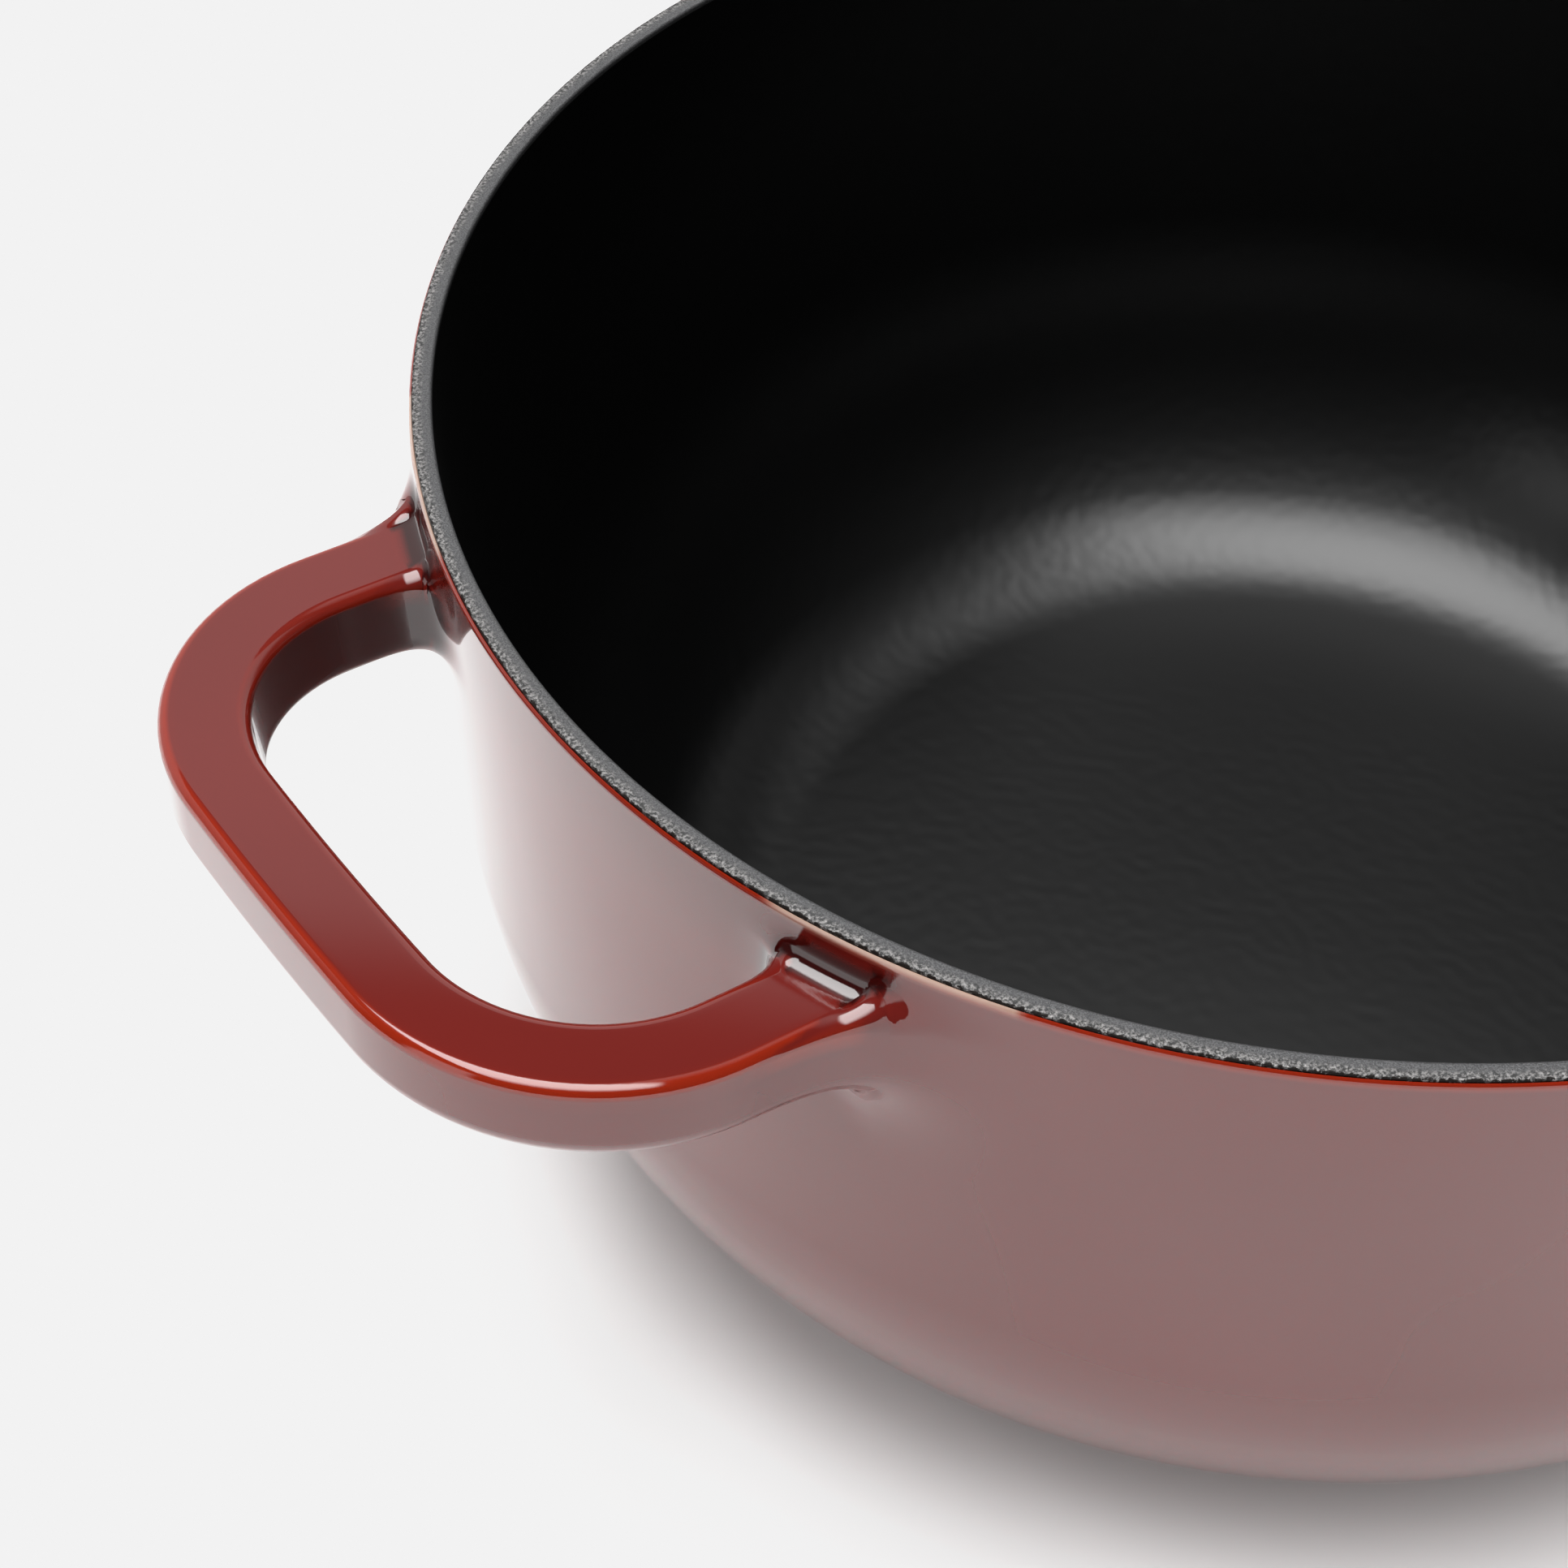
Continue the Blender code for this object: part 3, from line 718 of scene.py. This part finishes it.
def make_lid_pieces():
    """The lid's casting and the coats above and below it."""
    behind = ENAMEL + IRON_GAP
    seat = [(RING_TOP_RADIUS - behind, 0), (LID_RADIUS - behind, 0)]
    iron = lid_under(behind)
    skirt = (LID_RADIUS - behind, LID_EDGE_HEIGHT)
    iron += rounded([iron[-1], *seat, skirt], LID_SEAT_ROUND)[1:-1]
    iron += lid_top(behind, SCREW_HOLE_RADIUS)
    casting = shade(turned("lid_iron", iron, closed=True))

    top = [(LID_RADIUS, LID_SKIRT_GAP + LID_COAT_LIP), *lid_top(0, SCREW_HOLE_RADIUS)]
    back = [(LID_RADIUS - ENAMEL, LID_SKIRT_GAP), *lid_top(ENAMEL, SCREW_HOLE_RADIUS)]
    cover = shade(turned("lid_glaze", top + back[::-1], closed=True))

    under = rounded([*lid_under(0), (RING_TOP_RADIUS, -LINING_EDGE_DROP)], LINING_ROUND, 2)
    back = [*lid_under(ENAMEL), (RING_TOP_RADIUS - ENAMEL, -LINING_EDGE_DROP)]
    lining = shade(turned("lid_lining", under + back[::-1], closed=True))
    return casting, cover, lining


def make_collar():
    """Flat ring between knob and lid. Its profile starts and ends at a seam underneath."""
    bottom, top = COLLAR_BOTTOM, COLLAR_BOTTOM + COLLAR_HEIGHT
    seam = (COLLAR_SEAM, bottom)
    profile = rounded([
        seam, (COLLAR_RADIUS, bottom), (COLLAR_RADIUS, top),
        (COLLAR_BORE, top), (COLLAR_BORE, bottom), seam,
    ], COLLAR_ROUND)
    return shade(turned("heat_collar", profile[:-1], 128, closed=True))


def make_knob():
    """Turned steel knob: foot, waisted neck, overhanging cap with a soft shoulder."""
    bore = KNOB_BOTTOM + KNOB_BORE_DEPTH
    body = [(KNOB_BORE_RADIUS + KNOB_BORE_MOUTH, KNOB_BOTTOM)]
    body += [(r, KNOB_BOTTOM + height) for r, height in KNOB_SIDE]
    body += [(r, KNOB_TOP) for r in KNOB_CROWN]
    foot = rounded(body[:3], KNOB_FOOT_ROUND)[1:-1]
    soft = [body[0]] + foot + rounded(body[2:], KNOB_ROUND, 8)
    socket = [(0, bore + KNOB_BORE_CONE), (KNOB_BORE_RADIUS, bore),
              (KNOB_BORE_RADIUS, KNOB_BOTTOM + KNOB_BORE_MOUTH)]
    return shade(turned("knob", socket + soft + [(0, KNOB_TOP)], 160))


def make_screw():
    """Pan head screw with a hexagon socket and a rolled thread."""
    head = SCREW_SHOULDER - SCREW_HEAD_HEIGHT
    profile = [(0, head)] + rounded([
        (SCREW_RADIUS, head), (SCREW_HEAD_RADIUS, head), (SCREW_HEAD_RADIUS, SCREW_SHOULDER),
        (SCREW_RADIUS, SCREW_SHOULDER),
    ], SCREW_HEAD_ROUND, 6) + [(SCREW_RADIUS, SCREW_SHOULDER + THREAD_RUNOUT)]
    z = SCREW_SHOULDER + THREAD_START
    while z < SCREW_TIP - THREAD_PITCH:
        profile += [(SCREW_RADIUS - THREAD_DEPTH, z), (SCREW_RADIUS, z + THREAD_PITCH / 2)]
        z += THREAD_PITCH
    profile += [(SCREW_RADIUS - THREAD_DEPTH, SCREW_TIP), (0, SCREW_TIP)]
    screw = turned("screw", profile, 96)
    socket = [(0, head + SOCKET_DEPTH), (SOCKET_RADIUS, head + SOCKET_WALL),
              (SOCKET_RADIUS, head - SOCKET_OVERCUT), (0, head - SOCKET_OVERCUT)]
    hexagon = turned("hexagon", socket, 6)
    return shade(combine(screw, "DIFFERENCE", hexagon), THREAD_SHARP_ANGLE)


def make_washer():
    """Spring washer with its split, the ends a little apart."""
    verts, faces = [], []
    bottom, top = WASHER_BOTTOM, WASHER_BOTTOM + WASHER_HEIGHT
    inner, outer = WASHER_INNER_RADIUS, WASHER_OUTER_RADIUS
    section = rounded(
        [(inner, bottom), (outer, bottom), (outer, top), (inner, top), (inner, bottom)],
        WASHER_ROUND, 2)[:-1]
    n, steps = len(section), WASHER_STEPS
    skews = {0: -WASHER_SKEW, steps: WASHER_SKEW}
    for i in range(steps + 1):
        turn = WASHER_HALF_GAP + (math.tau - 2 * WASHER_HALF_GAP) * i / steps
        skew = skews.get(i, 0)
        for r, z in section:
            lean = turn + skew * (z - WASHER_BOTTOM - WASHER_HEIGHT / 2) / WASHER_HEIGHT / r * 2
            verts.append((r * math.cos(lean), r * math.sin(lean), z))
    for i in range(steps):
        faces += [(i * n + j, i * n + (j + 1) % n, (i + 1) * n + (j + 1) % n, (i + 1) * n + j)
                  for j in range(n)]
    faces += [tuple(range(n)), tuple(range(steps * n, steps * n + n))[::-1]]
    return shade(new_object("lock_washer", verts, faces))


# ---------------------------------------------------------------- materials


def math_node(nodes, links, operation, a, b):
    """Output of a math node whose inputs are numbers or other outputs."""
    node = nodes.new("ShaderNodeMath")
    node.operation = operation
    for socket, value in zip(node.inputs, (a, b)):
        if isinstance(value, (int, float)):
            socket.default_value = value
        else:
            links.new(value, socket)
    return node.outputs[0]


class Look:
    """A node material with short ways to add the nodes used here."""

    def __init__(self, name, colour, roughness, metallic=0.0, ior=1.5):
        self.material = bpy.data.materials.new(name)
        self.material.use_nodes = True
        self.nodes = self.material.node_tree.nodes
        self.links = self.material.node_tree.links
        self.shader = self.nodes["Principled BSDF"]
        self.shader.inputs["Base Color"].default_value = (*colour, 1)
        self.shader.inputs["Roughness"].default_value = roughness
        self.shader.inputs["Metallic"].default_value = metallic
        self.shader.inputs["IOR"].default_value = ior
        self.place = self.nodes.new("ShaderNodeTexCoord").outputs["Object"]

    def noise(self, size, detail, rough=0.5):
        """Noise with features of this size, in metres."""
        node = self.nodes.new("ShaderNodeTexNoise")
        node.inputs["Scale"].default_value = 1 / size
        node.inputs["Detail"].default_value = detail
        node.inputs["Roughness"].default_value = rough
        self.links.new(self.place, node.inputs["Vector"])
        return node.outputs["Fac"]

    def attribute(self, name):
        """Number kept on the mesh's vertices."""
        node = self.nodes.new("ShaderNodeAttribute")
        node.attribute_name = name
        return node.outputs["Fac"]

    def spread(self, value, low, high, out_low=0.0, out_high=1.0):
        """Takes low to out_low and high to out_high, smoothly."""
        node = self.nodes.new("ShaderNodeMapRange")
        node.interpolation_type = "SMOOTHSTEP"
        self.links.new(value, node.inputs["Value"])
        for socket, number in zip(("From Min", "From Max", "To Min", "To Max"),
                                  (low, high, out_low, out_high)):
            node.inputs[socket].default_value = number
        return node.outputs["Result"]

    def math(self, operation, a, b):
        return math_node(self.nodes, self.links, operation, a, b)

    def mix(self, factor, a, b):
        """Colour between two colours or outputs."""
        node = self.nodes.new("ShaderNodeMix")
        node.data_type = "RGBA"
        self.links.new(factor, node.inputs["Factor"])
        colours = [s for s in node.inputs if s.type == "RGBA"]
        for socket, value in zip(colours, (a, b)):
            if isinstance(value, tuple):
                socket.default_value = (*value, 1)
            else:
                self.links.new(value, socket)
        return [s for s in node.outputs if s.type == "RGBA"][0]

    def bump(self, height, distance):
        """Bends the shading normal, for grain too fine for the mesh."""
        node = self.nodes.new("ShaderNodeBump")
        node.inputs["Strength"].default_value = 1.0
        node.inputs["Distance"].default_value = distance
        self.links.new(height, node.inputs["Height"])
        self.links.new(node.outputs["Normal"], self.shader.inputs["Normal"])

    def feed(self, name, value):
        """Links an output to one of the shader's inputs."""
        self.links.new(value, self.shader.inputs[name])


RED = (0.102, 0.0074, 0.0052)
RED_EDGE = (0.19, 0.0115, 0.0024)
# Dark red of pooled glaze and painted shade in the hollows, and of painted shade on the loop's
# inner side
RED_POOL_AND_SHADE = (0.020, 0.0012, 0.0010)
# Painted highlight on the lip above the handles
LIP_HIGHLIGHT_BEIGE = (0.34, 0.23, 0.18)
BLACK = (0.0004, 0.0004, 0.00045)
RED_CLOUD_SIZE = 0.040
RED_CLOUD_TONES = (0.90, 1.15)
BLACK_TEXTURE_SIZE = 0.0024
BLACK_TEXTURE_DEPTH = 0.000032
GRAIN_SIZE = 0.00022
COARSE_GRAIN_SIZE = 0.00050
CAST_GRAIN_SIZE = 0.0004
GRAIN_DEPTH = 0.00010
GRAIN_TONES = ((0.057, 0.057, 0.059), (0.135, 0.135, 0.138))
COARSE_TONES = ((0.04, 0.04, 0.04), (0.31, 0.30, 0.295))
CAST_TONES = ((0.09, 0.09, 0.093), (0.19, 0.19, 0.195))
COARSE_RADII = (0.1270, 0.1281)
DARK_LINE = (0.006, 0.004, 0.003)
DARK_LINE_RADII = (0.12858, 0.12868)
RAGGED_SIZE = 0.0009
RAGGED_REACH = 0.00026
STEEL = (0.62, 0.61, 0.60)
SHEEN_SIZE = 0.0009
SHEEN_RANGE = (0.96, 1.05)
NOISE_RANGE = (0.3, 0.7)  # most of a noise's values lie between these
POLYMER = (0.018, 0.018, 0.019)
POLYMER_TEXTURE_SIZE = 0.0006
POLYMER_TEXTURE_DEPTH = 0.00003


def red_glaze(name, edges):
    """Glossy red glaze. With edges, its tone follows where the coat is thin, deep or pale.

    Deep is pooled glaze with painted shade in the hollows, and painted shade on the loop's inner
    side; pale is a painted highlight on the lip above the handles.
    """
    look = Look(name, RED, 0.05, ior=1.64)
    cloud = look.noise(RED_CLOUD_SIZE, 0.0)
    dark, light = (tuple(c * tone for c in RED) for tone in RED_CLOUD_TONES)
    colour = look.mix(cloud, dark, light)
    if edges:
        # Painted shade in the hollows, where glaze also pools, and on the loop's inner side
        colour = look.mix(look.attribute("deep"), colour, RED_POOL_AND_SHADE)
        colour = look.mix(look.attribute("thin"), colour, RED_EDGE)
        # Painted highlight on the lip above the handles
        colour = look.mix(look.attribute("pale"), colour, LIP_HIGHLIGHT_BEIGE)
    look.feed("Base Color", colour)
    return look.material


def black_glaze(name):
    """Satin black glaze with a slightly uneven surface."""
    look = Look(name, BLACK, 0.31, ior=1.53)
    look.bump(look.noise(BLACK_TEXTURE_SIZE, 0.0), BLACK_TEXTURE_DEPTH)
    return look.material


def raw_iron(name):
    """Ground bare iron: fine grain, coarse bright grains outside, dark ragged outer line."""
    look = Look(name, (0.16, 0.16, 0.165), 0.45, metallic=0.75)
    axis = look.nodes.new("ShaderNodeSeparateXYZ")
    look.links.new(look.place, axis.inputs[0])
    square = look.math("ADD", look.math("MULTIPLY", axis.outputs[0], axis.outputs[0]),
                       look.math("MULTIPLY", axis.outputs[1], axis.outputs[1]))
    radius = look.math("SQRT", square, 0)
    wander = look.noise(RAGGED_SIZE, 4.0, 0.7)
    wander = look.spread(wander, *NOISE_RANGE, -RAGGED_REACH, RAGGED_REACH)
    ragged = look.math("ADD", radius, wander)
    outer = look.spread(ragged, *COARSE_RADII)
    dark = look.spread(ragged, *DARK_LINE_RADII)
    grain = look.noise(GRAIN_SIZE, 3.0, 0.7)
    coarse = look.noise(COARSE_GRAIN_SIZE, 3.0, 0.7)
    tone = look.mix(look.spread(grain, 0.35, 0.68), *GRAIN_TONES)
    rough_tone = look.mix(look.spread(coarse, 0.40, 0.66), *COARSE_TONES)
    colour = look.mix(outer, tone, rough_tone)
    colour = look.mix(dark, colour, DARK_LINE)
    look.feed("Base Color", colour)
    height = look.math("ADD", grain, look.math("MULTIPLY", coarse, outer))
    look.bump(height, GRAIN_DEPTH)
    return look.material


def cast_iron(name):
    """Bare iron of the lid's seat."""
    look = Look(name, (0.13, 0.13, 0.134), 0.5, metallic=0.75)
    grain = look.noise(CAST_GRAIN_SIZE, 3.0, 0.7)
    look.feed("Base Color", look.mix(look.spread(grain, *NOISE_RANGE), *CAST_TONES))
    look.bump(grain, GRAIN_DEPTH)
    return look.material


def steel(name, roughness):
    """Satin steel with a slightly uneven sheen."""
    look = Look(name, STEEL, roughness, metallic=1.0)
    low, high = (roughness * share for share in SHEEN_RANGE)
    look.feed("Roughness", look.spread(look.noise(SHEEN_SIZE, 1.0), *NOISE_RANGE, low, high))
    return look.material


def polymer(name):
    """Matt black heat-proof plastic."""
    look = Look(name, POLYMER, 0.45)
    look.bump(look.noise(POLYMER_TEXTURE_SIZE, 2.0), POLYMER_TEXTURE_DEPTH)
    return look.material


# ---------------------------------------------------------------- putting the pieces on the frame


def put(obj, look, body, node):
    """Gives a piece its material and its body, in place of one CAD node."""
    obj.data.materials.append(look)
    if body == "lid":
        obj.data.transform(LID_PLACE)
    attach(obj, body)
    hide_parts(node)


def make_pieces():
    """All eleven pieces, each in place of its CAD node."""
    p, faces, normals = outer_surface()
    iron = raw_iron("raw_iron")
    put(make_coat(p, faces, normals), red_glaze("red_glaze", True), "pot",
        "exterior_enamel")
    put(make_iron(p, faces, normals), iron, "pot", "pot_casting")
    base_radius = float(np.hypot(p[:, 0], p[:, 1])[p[:, 2] < NEAR_BASE].min())
    put(make_inside(), black_glaze("black_glaze"), "pot", "interior_enamel")
    put(make_underside(base_radius - UNDERSIDE_GAP), red_glaze("base_glaze", False), "pot",
        "underside_enamel")
    casting, cover, lining = make_lid_pieces()
    put(casting, cast_iron("lid_cast_iron"), "lid", "lid_casting")
    put(cover, red_glaze("lid_red_glaze", False), "lid", "lid_exterior_enamel")
    put(lining, black_glaze("lid_black_glaze"), "lid", "lid_interior_enamel")
    put(make_knob(), steel("knob_steel_look", 0.26), "lid", "lid_knob")
    put(make_collar(), polymer("collar_look"), "lid", "knob_collar")
    put(make_washer(), steel("washer_look", 0.35), "lid", "knob_lock_washer")
    put(make_screw(), steel("screw_look", 0.30), "lid", "knob_screw")


# ---------------------------------------------------------------- studio and camera

CAMERA_ELEVATION = math.radians(45.45)
CAMERA_TURN = math.radians(35.05)
CAMERA_DISTANCE = 0.4771
AIM_RIGHT = -0.0780
AIM_DOWN = 0.0588
LENS = 79.86
SENSOR_WIDTH = 36
RIGHT = Vector((math.cos(CAMERA_TURN), -math.sin(CAMERA_TURN), 0))
AWAY = Vector((math.sin(CAMERA_TURN), math.cos(CAMERA_TURN), 0))

# World light. The softbox's sides and ends are distances in a plane one metre overhead
SOFTBOX_RIGHT = (-0.46, 0.26, 0.04, 0.37)  # left side, right side, softness, skew of the right
SOFTBOX_AWAY = (-0.52, 0.49, 0.36, 0.06)  # near end, far end, softness of each
SOFTBOX_LEVEL = 7.9
SOFTBOX_HORIZON = (0.05, 0.2)  # it fades out between these heights above the horizon
SLIM_SIDE = (math.radians(-142), math.radians(-118), 0.05)  # from, to, softness
SLIM_UP = (-0.05, 0.60, 0.08)
SLIM_LEVEL = 1.5
BEHIND_AWAY = (-0.15, 0.45)  # the dim light of the far side rises between these
BEHIND_RIGHT = (0.64, 0.86)  # and falls off again at the right between these
BEHIND_LEVEL = 0.74
DIP = (0.687, 0.84, 0.012, 0.035)  # dark band high in it: from, to, softness of each
DIP_DEPTH = 0.92
FRONT_LEVEL = 0.06

# Sun lamp, paper floor and the camera's response
FILL = 1.18
FILL_SIZE = math.radians(60)
FILL_LEAN = (math.radians(-4), math.radians(5), 0)
FLOOR_TONE = 0.80
FLOOR_GLOW = 0.10
FLOOR_RADII = (0.5, 6)
WHITE_LEVEL = 2.0
PAPER_WHITE = 0.888
TONE_POINTS = ((0.70, 0.70), (0.85, 0.82), (1.0, 0.875), (1.15, 0.888))


def make_camera():
    """Camera at the photo's angle, as fitted to the rim, the wall and the handle."""
    up = Vector((0, 0, 1))
    forward = AWAY * math.cos(CAMERA_ELEVATION) - up * math.sin(CAMERA_ELEVATION)
    down = -AWAY * math.sin(CAMERA_ELEVATION) - up * math.cos(CAMERA_ELEVATION)
    aim = up * RIM_HEIGHT + RIGHT * AIM_RIGHT + down * AIM_DOWN
    data = bpy.data.cameras.new("camera")
    data.lens = LENS
    data.sensor_width = SENSOR_WIDTH
    data.clip_start = 0.01
    camera = bpy.data.objects.new("camera", data)
    camera.location = aim - forward * CAMERA_DISTANCE
    camera.rotation_euler = forward.to_track_quat("-Z", "Y").to_euler()
    bpy.context.scene.collection.objects.link(camera)
    bpy.context.scene.camera = camera


def make_floor():
    """Wide pale paper with a faint glow of its own."""
    floor = turned("floor", [(0, 0)] + [(r, 0) for r in FLOOR_RADII], 96)
    look = Look("paper", (FLOOR_TONE, FLOOR_TONE, FLOOR_TONE), 0.9, ior=1.2)
    look.shader.inputs["Specular IOR Level"].default_value = 0.0
    look.shader.inputs["Emission Color"].default_value = (1, 1, 1, 1)
    look.shader.inputs["Emission Strength"].default_value = FLOOR_GLOW
    floor.data.materials.append(look.material)


class Sky:
    """World light by direction: a big softbox overhead, a slim one at the left, a dim far side."""

    def __init__(self):
        self.world = bpy.data.worlds.new("studio")
        bpy.context.scene.world = self.world
        self.world.use_nodes = True
        self.nodes = self.world.node_tree.nodes
        self.links = self.world.node_tree.links
        self.direction = self.nodes.new("ShaderNodeTexCoord").outputs["Generated"]

    def math(self, operation, a, b):
        return math_node(self.nodes, self.links, operation, a, b)

    def product(self, a, b):
        return self.math("MULTIPLY", a, b)

    def rest(self, value):
        """What is left of one."""
        return self.math("SUBTRACT", 1.0, value)

    def along(self, axis):
        """Part of the direction along an axis."""
        node = self.nodes.new("ShaderNodeVectorMath")
        node.operation = "DOT_PRODUCT"
        self.links.new(self.direction, node.inputs[0])
        node.inputs[1].default_value = axis
        return node.outputs["Value"]

    def step(self, value, low, high):
        """0 below low, 1 above high, smooth between."""
        node = self.nodes.new("ShaderNodeMapRange")
        node.interpolation_type = "SMOOTHSTEP"
        self.links.new(value, node.inputs["Value"])
        node.inputs["From Min"].default_value = low
        node.inputs["From Max"].default_value = high
        return node.outputs["Result"]

    def band(self, value, low, high, soft_low, soft_high=None):
        """1 between low and high, with soft ends."""
        soft_high = soft_high or soft_low
        rise = self.step(value, low - soft_low, low + soft_low)
        fall = self.step(value, high - soft_high, high + soft_high)
        return self.product(rise, self.rest(fall))

    def build(self):
        """Adds up all lights as the world's strength."""
        up, right, away = self.along((0, 0, 1)), self.along(RIGHT), self.along(AWAY)
        height = self.math("MAXIMUM", up, SOFTBOX_HORIZON[0])
        flat_right = self.math("DIVIDE", right, height)
        flat_away = self.math("DIVIDE", away, height)
        left, right_end, soft, skew = SOFTBOX_RIGHT
        skewed_right = self.math("ADD", flat_right, self.product(flat_away, skew))
        left_side = self.step(flat_right, left - soft, left + soft)
        right_side = self.rest(self.step(skewed_right, right_end - soft, right_end + soft))
        overhead = self.product(left_side, right_side)
        overhead = self.product(overhead, self.band(flat_away, *SOFTBOX_AWAY))
        overhead = self.product(overhead, self.step(up, *SOFTBOX_HORIZON))
        side = self.math("ARCTAN2", right, away)
        slim = self.product(self.band(side, *SLIM_SIDE), self.band(up, *SLIM_UP))
        behind = self.product(self.step(away, *BEHIND_AWAY),
                              self.rest(self.step(right, *BEHIND_RIGHT)))
        dip = self.product(self.band(up, *DIP), DIP_DEPTH)
        level = self.product(self.product(behind, BEHIND_LEVEL), self.rest(dip))
        level = self.math("ADD", level, FRONT_LEVEL)
        level = self.math("ADD", level, self.product(overhead, SOFTBOX_LEVEL))
        level = self.math("ADD", level, self.product(slim, SLIM_LEVEL))
        background = self.nodes["Background"]
        self.links.new(level, background.inputs["Strength"])
        background.inputs["Color"].default_value = (1, 1, 1, 1)


def make_fill():
    """Broad soft light from above that lights the matt surfaces and leaves no mirror image."""
    data = bpy.data.lights.new("fill", "SUN")
    data.energy = FILL
    data.angle = FILL_SIZE
    fill = bpy.data.objects.new("fill", data)
    fill.rotation_euler = FILL_LEAN
    fill.visible_glossy = False
    bpy.context.scene.collection.objects.link(fill)


def set_exposure():
    """Response that levels off at the paper's white, like the overexposed paper in the photo."""
    view = bpy.context.scene.view_settings
    view.view_transform = "Standard"
    view.use_curve_mapping = True
    mapping = view.curve_mapping
    mapping.white_level = (WHITE_LEVEL,) * 3
    curve = mapping.curves[3]
    for x, y in TONE_POINTS:
        curve.points.new(x / WHITE_LEVEL, y).handle_type = "VECTOR"
    curve.points[-1].location = (1, PAPER_WHITE)
    mapping.update()


make_pieces()
make_floor()
make_camera()
Sky().build()
make_fill()
set_exposure()
